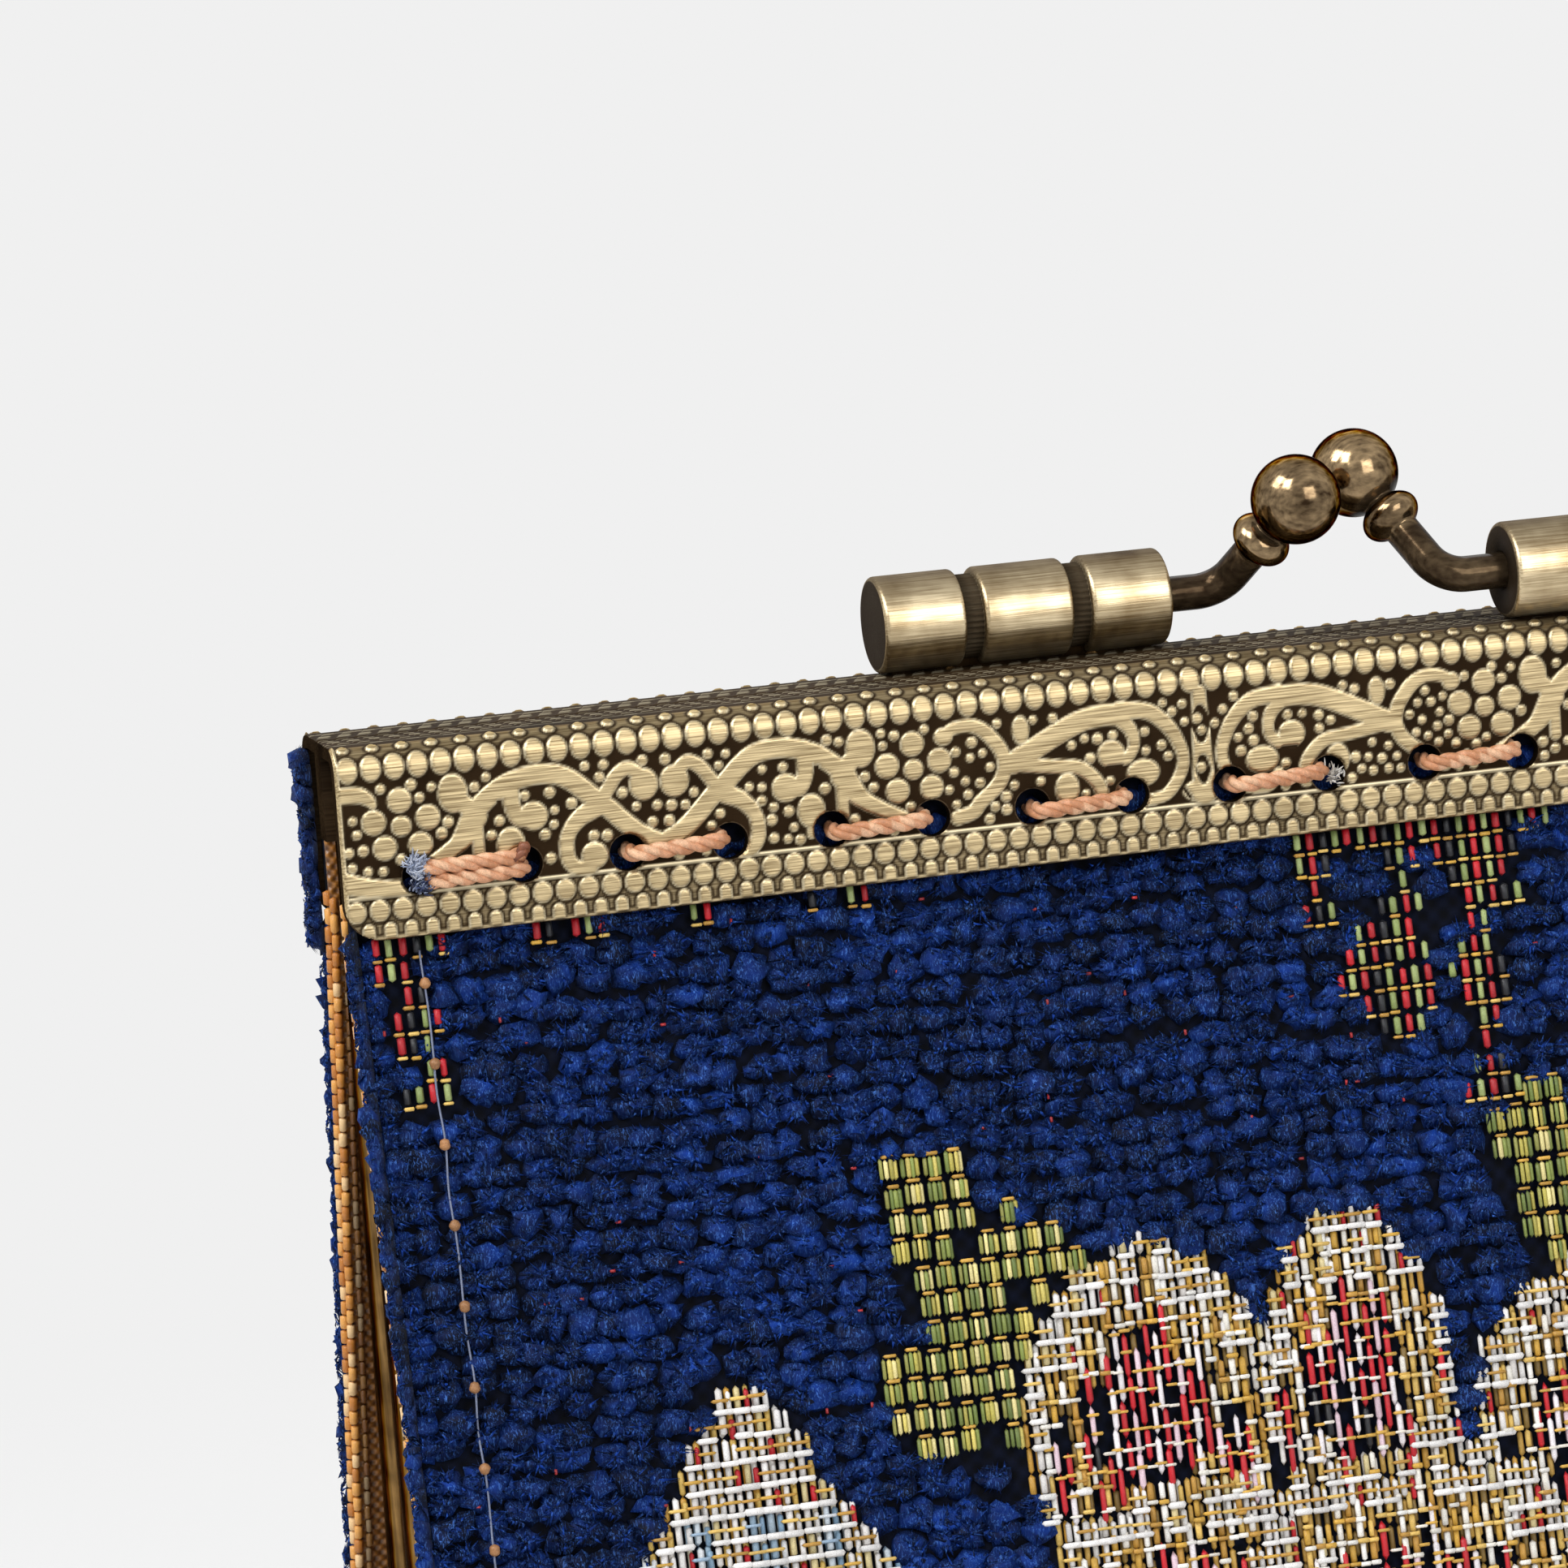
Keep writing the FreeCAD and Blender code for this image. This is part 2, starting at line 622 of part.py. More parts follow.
def build_base(label, start, thickness, half):
    """One layer of the base, rounded where it turns from the sides to the floor."""
    body = new_body(label)
    finish = start + thickness
    base = slab(body, f"{label}_side", base_outline(start, finish), -half, half)
    outer = round_edges(
        body, base, cell("base_radius") - start,
        lambda edge: runs_along(edge, 0) and near(edge, 2, as_size(start).value))
    round_edges(
        body, outer, cell("base_radius") - finish,
        lambda edge: runs_along(edge, 0) and near(edge, 2, finish.value))


build_base("base_cloth", as_size(0), cell("cloth_thickness"), panel_half)
build_base("base_lining", board_start, cell("lining_thickness"), gusset_half + cell("gusset_gap"))


# Pleated sides

def gusset_section(end, wide):
    """A V of cloth across the side of the purse, folded into it."""
    fold = gusset_half - cell("gusset_fold")
    thick = cell("gusset_thickness")
    return [
        (end * gusset_half, -wide), (end * gusset_half, thick - wide),
        (end * (fold + thick), 0), (end * gusset_half, wide - thick), (end * gusset_half, wide),
        (end * (gusset_half - thick), wide), (end * fold, 0), (end * (gusset_half - thick), -wide),
    ]


def build_gusset(end_name, end):
    """The pleated lining cloth that closes one side of the purse behind the legs."""
    body = new_body(f"gusset_{end_name}")
    lean = tangent(cell("panel_lean"))
    clear = lining_start + cell("lining_thickness") + cell("gusset_gap")
    high = top - cell("gusset_top_drop")
    low = cell("base_radius")
    foot = board_start + cell("lining_thickness") + cell("gusset_gap")
    widest = panel_face - clear + lean * (bar_foot - cell("panel_foot"))
    levels = [
        (high, panel_face - clear + lean * (bar_foot - high)),
        (cell("panel_foot"), widest),
        (low, widest - cell("gusset_gap")),
        (foot, widest - cell("base_radius")),
    ]
    sketches = []
    for number, (level, wide) in enumerate(levels):
        sketch = new_sketch(body, f"gusset_{end_name}_level{number}", "XY_Plane", level)
        draw_outline(sketch, gusset_section(end, wide))
        sketches.append(sketch)
    loft = body.newObject("PartDesign::AdditiveLoft", f"gusset_{end_name}_loft")
    loft.Profile = sketches[0]
    loft.Sections = sketches[1:]
    loft.Ruled = True


for end_name, end in ENDS.items():
    build_gusset(end_name, end)


# Sewing thread through the frame and the side seams of the panels

def staple(side, left, right, level, depth_out, depth_in, radius):
    """One visible stitch: out of a hole, along the face and into the next hole."""
    bend = radius * 1.2
    outside, inside = side * depth_out, side * depth_in
    turn = side * (depth_out - bend)
    start = FreeCAD.Vector(left, inside, level)
    first = FreeCAD.Vector(left, turn, level)
    second = FreeCAD.Vector(left + bend, outside, level)
    third = FreeCAD.Vector(right - bend, outside, level)
    fourth = FreeCAD.Vector(right, turn, level)
    finish = FreeCAD.Vector(right, inside, level)
    slack = bend * (1 - math.sqrt(0.5))
    knee = FreeCAD.Vector(left + slack, side * (depth_out - slack), level)
    other = FreeCAD.Vector(right - slack, side * (depth_out - slack), level)
    edges = [
        Part.LineSegment(start, first), Part.Arc(first, knee, second),
        Part.LineSegment(second, third), Part.Arc(third, other, fourth),
        Part.LineSegment(fourth, finish),
    ]
    wire = Part.Wire([edge.toShape() for edge in edges])
    circle = Part.Circle(start, FreeCAD.Vector(0, side, 0), radius)
    return wire.makePipeShell([Part.Wire(circle.toShape())], True, False)


def build_frame_stitches(name, side):
    """The row of sewing stitches: out at each odd hole and in at the next one."""
    pitch = cell("hole_pitch").value
    count = int(cell("hole_count").value)
    radius = cell("thread_radius").value
    gap = cell("thread_gap").value
    level = (top - cell("hole_drop")).value
    first = -pitch * (count - 1) / 2
    depth_out = cell("channel_depth").value + gap + radius
    depth_in = panel_face.value + gap
    stitches = []
    for number in range(0, count - 1, 2):
        left = first + number * pitch
        stitches.append(staple(side, left, left + pitch, level, depth_out, depth_in, radius))
    feature = doc.addObject("Part::Feature", f"{name}_frame_stitches")
    feature.Label = f"{name}_frame_stitches"
    feature.Shape = Part.makeCompound(stitches)


def build_side_seams(name, side):
    """The knots and thin thread of the seams down both side edges of a panel."""
    lean = math.radians(cell("panel_lean").value)
    radius = cell("seam_knot_radius").value
    pitch = cell("seam_pitch").value
    inset = (panel_half - cell("seam_inset")).value
    slope = (bar_foot - cell("panel_foot")).value / math.cos(lean)
    down = FreeCAD.Vector(0, side * math.sin(lean), -math.cos(lean))
    lift = panel_face.value + radius / math.cos(lean)
    knots = int(slope / pitch)
    seams = []
    for x in (-inset, inset):
        start = FreeCAD.Vector(x, side * lift, bar_foot.value) + down * (pitch / 2)
        beads = [Part.makeSphere(radius, start + down * (pitch * number)) for number in range(knots)]
        thread = Part.makeCylinder(radius / 3, pitch * (knots - 1), start, down)
        seams.append(thread.multiFuse(beads))
    feature = doc.addObject("Part::Feature", f"{name}_side_seams")
    feature.Label = f"{name}_side_seams"
    feature.Shape = Part.makeCompound(seams)


for name, side in SIDES.items():
    build_frame_stitches(name, side)
    build_side_seams(name, side)

# Checks, then one file for each piece

doc.recompute()
for item in doc.Objects:
    faults = [word for word in item.State if word in ("Invalid", "Error")]
    if faults:
        raise RuntimeError(f"{item.Name} is {faults}")

pieces = [item for item in doc.Objects if item.TypeId == "PartDesign::Body"]
pieces += [item for item in doc.Objects if item.TypeId == "Part::Feature"]
for piece in pieces:
    if piece.Shape.isNull() or not piece.Shape.isValid():
        raise RuntimeError(f"{piece.Label} has no valid shape")

os.makedirs("parts", exist_ok=True)
for piece in pieces:
    piece.Shape.exportStep(f"parts/{piece.Label}.step")
    solids = len(piece.Shape.Solids)
    print(f"{piece.Label}: {solids} solid(s), {piece.Shape.Volume:.1f} mm3")
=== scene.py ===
# %% [markdown]
# # A coin purse with an embossed brass clasp frame
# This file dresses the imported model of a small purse: an antique brass sewing frame with two
# clasp knobs, chenille tapestry panels, a satin lining and waxed sewing thread. The packed
# model is loaded first as a fixed frame, so that each new piece goes where the model says.

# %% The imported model
import math

import bpy
import numpy as np
from mathutils import Matrix


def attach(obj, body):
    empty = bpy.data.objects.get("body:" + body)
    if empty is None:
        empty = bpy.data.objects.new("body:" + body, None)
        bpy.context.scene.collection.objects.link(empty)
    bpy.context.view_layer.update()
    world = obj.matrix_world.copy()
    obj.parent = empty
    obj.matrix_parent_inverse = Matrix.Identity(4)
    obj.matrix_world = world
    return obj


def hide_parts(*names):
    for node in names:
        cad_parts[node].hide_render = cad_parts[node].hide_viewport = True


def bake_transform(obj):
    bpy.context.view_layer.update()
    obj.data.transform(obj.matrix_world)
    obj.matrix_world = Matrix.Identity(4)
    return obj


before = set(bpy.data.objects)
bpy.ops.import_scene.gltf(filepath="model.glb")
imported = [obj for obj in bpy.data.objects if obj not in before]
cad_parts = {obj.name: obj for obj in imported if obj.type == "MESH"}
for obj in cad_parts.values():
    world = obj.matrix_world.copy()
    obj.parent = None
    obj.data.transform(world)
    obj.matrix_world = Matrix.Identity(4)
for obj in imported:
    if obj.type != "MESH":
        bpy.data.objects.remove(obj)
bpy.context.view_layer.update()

MM = 0.001
FRONT = -1
BACK = 1
HALF = {FRONT: "front_half", BACK: "back_half"}
SIDE_NAME = {FRONT: "front", BACK: "back"}

# %% [markdown]
# ## Surfaces from arrays
# Each new piece is a surface worked out with numpy. A grid of points is a function of two
# parameters, a tube is a circle carried along a path, and a small shape that comes many times,
# such as a tuft of pile, is stamped at many places. The same few functions do this for all
# pieces, and sizes are in millimetres until the points go into a mesh.

# %% Faces of a grid and a piece from arrays


def grid_faces(rows, columns, ring=False):
    """Four corners for each cell of a grid stored row by row; with ring, the last column meets the first."""
    row = np.arange(rows - 1)
    column = np.arange(columns if ring else columns - 1)
    r, c = np.meshgrid(row, column, indexing="ij")
    after = (c + 1) % columns
    corners = [r * columns + c, r * columns + after, (r + 1) * columns + after, (r + 1) * columns + c]
    return np.stack(corners, -1).reshape(-1, 4)


def make_piece(name, points, faces, finish, body=None, slot=None, stands_for=(), values=None, colours=None,
               smooth=True):
    """Puts points in millimetres, and a list of face arrays, into a new object that rides on its CAD body."""
    points = np.asarray(points, float).reshape(-1, 3) * MM
    faces = [np.asarray(block, np.int32) for block in faces if len(block)]
    corners = np.concatenate([block.ravel() for block in faces])
    counts = np.concatenate([np.full(len(block), block.shape[1]) for block in faces])
    mesh = bpy.data.meshes.new(name)
    mesh.vertices.add(len(points))
    mesh.vertices.foreach_set("co", points.astype(np.float32).ravel())
    mesh.loops.add(len(corners))
    mesh.loops.foreach_set("vertex_index", corners)
    mesh.polygons.add(len(counts))
    mesh.polygons.foreach_set("loop_start", np.concatenate([[0], np.cumsum(counts)[:-1]]).astype(np.int32))
    mesh.polygons.foreach_set("use_smooth", np.full(len(counts), smooth))
    mesh.update(calc_edges=True)
    mesh.validate()
    for key, value in (values or {}).items():
        layer = mesh.attributes.new(key, "FLOAT", "POINT")
        layer.data.foreach_set("value", np.asarray(value, np.float32).ravel())
    if colours is not None:
        layer = mesh.attributes.new("yarn", "FLOAT_COLOR", "POINT")
        rgba = np.concatenate([np.asarray(colours, float), np.ones((len(points), 1))], 1)
        layer.data.foreach_set("color", rgba.astype(np.float32).ravel())
    mesh.materials.append(finish)
    thing = bpy.data.objects.new(name, mesh)
    bpy.context.scene.collection.objects.link(thing)
    if body:
        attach(thing, body)
    if stands_for:
        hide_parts(*stands_for)
    print(f"{name}: {int((counts - 2).sum())} triangles")
    return thing


# %% Tubes, turned shapes, thin shells and stamped shapes


def unit(vectors):
    """Each vector divided by its own length."""
    vectors = np.asarray(vectors, float)
    return vectors / np.linalg.norm(vectors, axis=-1, keepdims=True)


def tube(path, radius, across, along=None, around=24, shift=None, ripple=None):
    """A closed tube round a flat path. A ring's point is path + radius (cos a . side + sin a . across),
    where side = across x along. shift moves the rings, and ripple scales the radius by ring and angle."""
    path = np.asarray(path, float)
    radius = np.broadcast_to(np.asarray(radius, float), (len(path),))
    along = unit(np.gradient(path, axis=0)) if along is None else np.broadcast_to(unit(along), path.shape)
    across = np.broadcast_to(unit(across), path.shape)
    side = np.cross(across, along)
    centre = path if shift is None else path + shift[0][:, None] * side + shift[1][:, None] * across
    angle = np.linspace(0, 2 * math.pi, around, endpoint=False)
    size = radius[:, None] * (np.ones(around) if ripple is None else ripple(angle))
    spokes = np.cos(angle)[None, :, None] * side[:, None, :] + np.sin(angle)[None, :, None] * across[:, None,
            :]
    rings = centre[:, None, :] + size[:, :, None] * spokes
    count = len(path) * around
    points = np.concatenate([rings.reshape(-1, 3), centre[:1], centre[-1:]])
    here = np.arange(around)
    after = (here + 1) % around
    last = (len(path) - 1) * around
    start = np.stack([np.full(around, count), after, here], 1)
    finish = np.stack([np.full(around, count + 1), last + here, last + after], 1)
    return points, [grid_faces(len(path), around, ring=True), np.concatenate([start, finish])]


def shell(outer, inner):
    """A thin closed sheet: one grid for each face, and walls round the rim."""
    rows, columns = outer.shape[:2]
    count = rows * columns
    top = grid_faces(rows, columns)
    index = np.arange(count).reshape(rows, columns)
    rim = np.concatenate([index[0, :-1], index[:-1, -1], index[-1, :0:-1], index[:0:-1, 0]])
    after = np.roll(rim, -1)
    walls = np.stack([after, rim, rim + count, after + count], 1)
    points = np.concatenate([outer.reshape(-1, 3), inner.reshape(-1, 3)])
    return points, [np.concatenate([top, top[:, ::-1] + count, walls])]


def join_shapes(shapes):
    """Several (points, faces) shapes as one."""
    points, faces, count = [], [], 0
    for shape_points, shape_faces in shapes:
        points.append(shape_points)
        faces.extend(block + count for block in shape_faces)
        count += len(shape_points)
    return np.concatenate(points), faces


def repeat_faces(faces, copies, count):
    """The faces of one stamped shape, once for each copy."""
    return (faces[None] + (np.arange(copies) * count)[:, None, None]).reshape(-1, faces.shape[1])


# %% [markdown]
# ## Colours and nodes
# Colours are written as the eye names them, in sRGB hex, and one function turns them to the
# linear numbers that Blender mixes. One small function adds any node with its settings and
# links, so each material below reads as a list of what the real finish is made of.

# %% Colours and nodes


def linear(hex_colour):
    """An sRGB hex colour as linear red, green and blue: ((c + 0.055) / 1.055) ^ 2.4, straight near black."""
    srgb = np.array([int(hex_colour[i:i + 2], 16) for i in (1, 3, 5)]) / 255
    return np.where(srgb <= 0.04045, srgb / 12.92, ((srgb + 0.055) / 1.055) ** 2.4)


def paint(hex_colour):
    """A colour with full alpha for a node's socket."""
    return (*linear(hex_colour), 1.0)


def add_node(tree, kind, parts={}):
    """Adds one shader node and gives its outputs. Names in small letters are its own settings, and the
    others are sockets, which take a value or a link."""
    new = tree.nodes.new(f"ShaderNode{kind}")
    for key, value in parts.items():
        if str(key)[0].islower():
            setattr(new, key, value)
        elif isinstance(value, bpy.types.NodeSocket):
            tree.links.new(value, new.inputs[key])
        else:
            new.inputs[key].default_value = value
    return new.outputs


def wire(tree, shader, **sockets):
    """Links outputs to the shader's own sockets."""
    for socket, value in sockets.items():
        tree.links.new(value, shader.inputs[socket.replace("_", " ")])


def dress(labels, finish):
    """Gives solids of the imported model, whose shapes stay, a new finish."""
    for label in labels:
        materials = bpy.data.objects[label].data.materials
        materials.clear()
        materials.append(finish)
    print("new finish for", ", ".join(labels))


def new_finish(name, **sockets):
    """An empty material with its shader's own sockets set; returns the material, its tree and its shader."""
    material = bpy.data.materials.new(name)
    material.use_nodes = True
    tree = material.node_tree
    shader = tree.nodes["Principled BSDF"]
    for socket, value in sockets.items():
        shader.inputs[socket.replace("_", " ")].default_value = value
    return material, tree, shader


RGBA_MIX = {"data_type": "RGBA"}

# %% [markdown]
# ## Antique brass
# The frame is pressed from thin brass sheet, plated, blackened in a bath and then rubbed back
# along its length. The rubbed tops are pale and satin, with fine lines along the frame, and the
# hollows keep the dark brown patina. The relief piece carries its own height as an attribute, and a
# painted highlight along its bevels as another, so one material gives the pale tops, the painted
# bevel highlights and the dark hollows wherever they fall.

# %% Antique brass: embossed face


def embossed_brass():
    """Mixes dark oxide and rubbed brass by height, and pales each raised edge with a painted highlight; the
    lines of rubbing are noise 0.08 mm apart and 3 mm long.
    """
    material, tree, shader = new_finish("antique_brass_embossed_rubbed", Specular_Tint=paint("#7A6242"))
    place = add_node(tree, "TexCoord")
    stretch = add_node(tree, "Mapping", {"Vector": place["Object"], "Scale": (330, 12500, 12500)})
    rub = add_node(tree, "TexNoise", {"Vector": stretch[0], "Scale": 1.0, "Detail": 3.0})
    stain = add_node(tree, "TexNoise", {"Vector": place["Object"], "Scale": 260.0, "Detail": 2.0})
    height = add_node(tree, "Attribute", {"attribute_name": "relief"})
    edge = add_node(tree, "Attribute", {"attribute_name": "painted_highlight"})
    line = add_node(tree, "MapRange", {0: rub[0], 1: 0.3, 2: 0.68})
    raised = add_node(tree, "Mix", {**RGBA_MIX, 0: line[0], 6: paint("#7C6949"), 7: paint("#DDC89C")})
    hollow = add_node(tree, "Mix", {**RGBA_MIX, 0: stain[0], 6: paint("#100A06"), 7: paint("#38291A")})
    colour = add_node(tree, "Mix", {**RGBA_MIX, 0: height["Fac"], 6: hollow[2], 7: raised[2]})
    # Painted highlight: a thin pale line, towards #F4EACB, along the edge of each raised shape.
    bright = add_node(tree, "Mix", {**RGBA_MIX, 0: edge["Fac"], 6: colour[2], 7: paint("#F4EACB")})
    satin = add_node(tree, "MapRange", {0: rub[0], 3: 0.34, 4: 0.54})
    dull = add_node(tree, "MapRange", {0: height["Fac"], 1: 0.0, 2: 0.5, 3: 0.85, 4: 0.3})
    rough = add_node(tree, "Math", {"operation": "MAXIMUM", 0: satin[0], 1: dull[0]})
    oxide = add_node(tree, "MapRange", {0: height["Fac"], 1: 0.0, 2: 0.6, 3: 0.2, 4: 1.0})
    bump = add_node(tree, "Bump", {"Strength": 0.35, "Distance": 0.00003, "Height": rub[0]})
    wire(tree, shader, Metallic=oxide[0], Base_Color=bright[2], Roughness=rough[0], Normal=bump[0])
    return material


def plain_brass(name, dark, pale, edge, scale, rough_low, rough_high, line_bump, crust=0.8):
    """Brass without relief: two colours of old blackening mixed by rubbing lines and by slow stains. One
    attribute holds both real blackening and painted shade; where it is high, the piece is darker, less
    metallic and up to crust rough."""
    material, tree, shader = new_finish(name, Specular_Tint=paint(edge))
    place = add_node(tree, "TexCoord")
    stretch = add_node(tree, "Mapping", {"Vector": place["Object"], "Scale": scale})
    rub = add_node(tree, "TexNoise", {"Vector": stretch[0], "Scale": 1.0, "Detail": 4.0})
    stain = add_node(tree, "TexNoise", {"Vector": place["Object"], "Scale": 420.0, "Detail": 3.0})
    both = add_node(tree, "Math", {"operation": "MULTIPLY", 0: rub[0], 1: stain[0]})
    share = add_node(tree, "MapRange", {0: both[0], 1: 0.1, 2: 0.42})
    rubbed = add_node(tree, "Mix", {**RGBA_MIX, 0: share[0], 6: paint(dark), 7: paint(pale)})
    patina_and_shade = add_node(tree, "Attribute", {"attribute_name": "patina_and_painted_shade"})
    # The attribute darkens towards #1C130D: real patina on some pieces, painted shade on others.
    colour = add_node(tree, "Mix", {**RGBA_MIX, 0: patina_and_shade["Fac"], 6: rubbed[2], 7: paint("#1C130D")})
    satin = add_node(tree, "MapRange", {0: rub[0], 3: rough_low, 4: rough_high})
    dull = add_node(tree, "MapRange", {0: patina_and_shade["Fac"], 3: 0.0, 4: crust})
    rough = add_node(tree, "Math", {"operation": "MAXIMUM", 0: satin[0], 1: dull[0]})
    oxide = add_node(tree, "MapRange", {0: patina_and_shade["Fac"], 3: 1.0, 4: 0.4})
    bump = add_node(tree, "Bump", {"Strength": line_bump, "Distance": 0.00002, "Height": rub[0]})
    wire(tree, shader, Metallic=oxide[0], Base_Color=colour[2], Roughness=rough[0], Normal=bump[0])
    return material


EMBOSSED = embossed_brass()
CHANNEL_BRASS = plain_brass("antique_brass_sheet_blackened", "#2A2018", "#5C4C38", "#3A2E20",
                            (420, 9000, 9000), 0.4, 0.6, 0.2)
BARREL_BRASS = plain_brass("antique_brass_turned_brushed", "#8A7350", "#F0DDB6", "#7A5C3E",
                           (300, 11000, 11000), 0.24, 0.42, 0.6)
KNOB_BRASS = plain_brass("dark_brass_cast_polished", "#36281B", "#B09672", "#5A452E",
                         (1500, 5000, 3000), 0.08, 0.22, 0.4, crust=0.22)
LEG_BRASS = plain_brass("dark_brass_strip_polished", "#3E2C1A", "#A4804E", "#4A3826",
                        (5000, 5000, 300), 0.16, 0.3, 0.2)

# %% [markdown]
# ## Cloth, thread and board
# The blue ground is chenille: short velvety tufts, dark between them and soft at their rims; the
# dark towards their roots is painted shade. The flowers are woven from shiny twisted yarns, whose
# colour each yarn carries as an attribute. The lining is a gold satin woven at 0.6 mm, and the
# sewing thread is waxed cord.

# %% Chenille pile


def chenille():
    """Painted shade by height: the colour goes from near black at the root, where shade falls between the
    tufts, to blue at the tip; fibre noise 0.09 mm wide breaks it up.
    """
    material, tree, shader = new_finish(
        "chenille_pile_dyed_navy", Roughness=0.55, Sheen_Weight=0.05, Sheen_Roughness=0.3,
        Sheen_Tint=paint("#4C7CE0"), Specular_IOR_Level=0.12)
    place = add_node(tree, "TexCoord")
    height = add_node(tree, "Attribute", {"attribute_name": "rise"})
    tone = add_node(tree, "Attribute", {"attribute_name": "tone"})
    combed = add_node(tree, "Mapping", {"Vector": place["Object"], "Scale": (11000, 11000, 3200)})
    fibre = add_node(tree, "TexNoise", {"Vector": combed[0], "Scale": 1.0, "Detail": 2.0, "Distortion": 1.0})
    body = add_node(tree, "Mix", {**RGBA_MIX, 0: tone["Fac"], 6: paint("#010821"), 7: paint("#0F3B98")})
    lit = add_node(tree, "MapRange", {0: fibre[0], 1: 0.52, 2: 0.78})
    streak = add_node(tree, "Mix", {**RGBA_MIX, 0: lit[0], 6: body[2], 7: paint("#4C7FD8")})
    # Painted shade: the rise attribute darkens the pile towards near black at its roots.
    painted_shade = add_node(tree, "Mix", {**RGBA_MIX, 0: height["Fac"], 6: paint("#02040B"), 7: streak[2]})
    bump = add_node(tree, "Bump", {"Strength": 0.8, "Distance": 0.0001, "Height": fibre[0]})
    wire(tree, shader, Base_Color=painted_shade[2], Normal=bump[0])
    return material


def yarn(name, gloss, tint_spread):
    """Spun yarn: its own colour attribute, darkened and lightened by fibre noise 0.08 mm wide."""
    material, tree, shader = new_finish(name, Roughness=gloss, Specular_IOR_Level=0.5, Sheen_Weight=0.04)
    place = add_node(tree, "TexCoord")
    colour = add_node(tree, "Attribute", {"attribute_name": "yarn"})
    fibre = add_node(tree, "TexNoise", {"Vector": place["Object"], "Scale": 12000.0, "Detail": 2.0,
                                        "Distortion": 2.0})
    shade = add_node(tree, "MapRange", {0: fibre[0], 1: 0.25, 2: 0.75, 3: 1.0 - tint_spread,
                                        4: 1.0 + tint_spread * 0.3})
    mixed = add_node(tree, "VectorMath", {"operation": "SCALE", 0: colour["Color"], "Scale": shade[0]})
    bump = add_node(tree, "Bump", {"Strength": 0.5, "Distance": 0.00005, "Height": fibre[0]})
    wire(tree, shader, Base_Color=mixed[0], Normal=bump[0])
    return material


def woven_sheet(name, dark, pale, pitch, gloss, sheen=0.3, shine=0.5):
    """Plain woven cloth: two waves at the thread pitch in mm, one along X and one down the cloth."""
    material, tree, shader = new_finish(name, Roughness=gloss, Sheen_Weight=sheen, Specular_IOR_Level=shine)
    where = add_node(tree, "UVMap", {"uv_map": "cut"})
    parts = add_node(tree, "SeparateXYZ", {0: where[0]})
    turns = 2 * math.pi / pitch
    angle_x = add_node(tree, "Math", {"operation": "MULTIPLY", 0: parts[0], 1: turns})
    angle_y = add_node(tree, "Math", {"operation": "MULTIPLY", 0: parts[1], 1: turns})
    wave_x = add_node(tree, "Math", {"operation": "SINE", 0: angle_x[0]})
    wave_y = add_node(tree, "Math", {"operation": "SINE", 0: angle_y[0]})
    crossed = add_node(tree, "Math", {"operation": "MULTIPLY", 0: wave_x[0], 1: wave_y[0]})
    slub = add_node(tree, "TexNoise", {"Vector": where[0], "Scale": 1.4, "Detail": 3.0})
    raised = add_node(tree, "Math", {"operation": "ADD", 0: crossed[0], 1: slub[0]})
    share = add_node(tree, "MapRange", {0: raised[0], 1: -0.4, 2: 1.3})
    colour = add_node(tree, "Mix", {**RGBA_MIX, 0: share[0], 6: paint(dark), 7: paint(pale)})
    bump = add_node(tree, "Bump", {"Strength": 0.7, "Distance": 0.0001, "Height": raised[0]})
    wire(tree, shader, Base_Color=colour[2], Normal=bump[0])
    return material


def pressed_board():
    """Grey pressed fibre: flecks of paper fibre about half a millimetre long in a dull ground."""
    material, tree, shader = new_finish("fibreboard_pressed", Roughness=0.9)
    place = add_node(tree, "TexCoord")
    fleck = add_node(tree, "TexNoise", {"Vector": place["Object"], "Scale": 1800.0, "Detail": 5.0})
    colour = add_node(tree, "Mix", {**RGBA_MIX, 0: fleck[0], 6: paint("#6F675A"), 7: paint("#A79C88")})
    bump = add_node(tree, "Bump", {"Strength": 0.3, "Distance": 0.00005, "Height": fleck[0]})
    wire(tree, shader, Base_Color=colour[2], Normal=bump[0])
    return material


PILE = chenille()
YARN = yarn("rayon_yarn_woven", 0.34, 0.42)
SATIN_FLOAT = yarn("gold_satin_float_woven", 0.24, 0.2)
CORD = yarn("waxed_cotton_cord_twisted", 0.4, 0.5)
GROUND = woven_sheet("tapestry_ground_woven_black", "#020308", "#070C1C", 1.15, 0.9, sheen=0.0, shine=0.12)
LINING = woven_sheet("gold_satin_lining_woven", "#54310F", "#A06A2A", 0.6, 0.36, sheen=0.1)
BOARD = pressed_board()
print("finishes", [m.name for m in bpy.data.materials if m.use_nodes])

# %% [markdown]
# ## The embossed channels
# The sewing frame is a pair of brass channels pressed over a die. The die's scrollwork is
# arches, curls and beads between two rows of pearls, and it repeats along the strip. It could be
# made as a bump in the material, but a bump casts no shadow and has no true edge, so the relief
# is a real skin over each channel: a fine grid over the unrolled sheet (along X, and up the face,
# round the bend and over the top), whose height is worked out from the distance to each band.

# %% Distances to the bands and blobs of the scrollwork
FRAME_HALF = 52.5
CHANNEL_FOOT = 68.7
BEND = 1.2
FACE = 8.1
ARC = BEND * math.pi / 2
FLAT_TOP = 2.65
UNROLLED = FACE + ARC + FLAT_TOP
HOLES = -48.69 + 5.125 * np.arange(20)
HOLE_LEVEL = 71.6 - CHANNEL_FOOT
HOLE_RADIUS = 0.9
CORNER = 1.8
EMBOSS = 0.14
REACH = 0.6


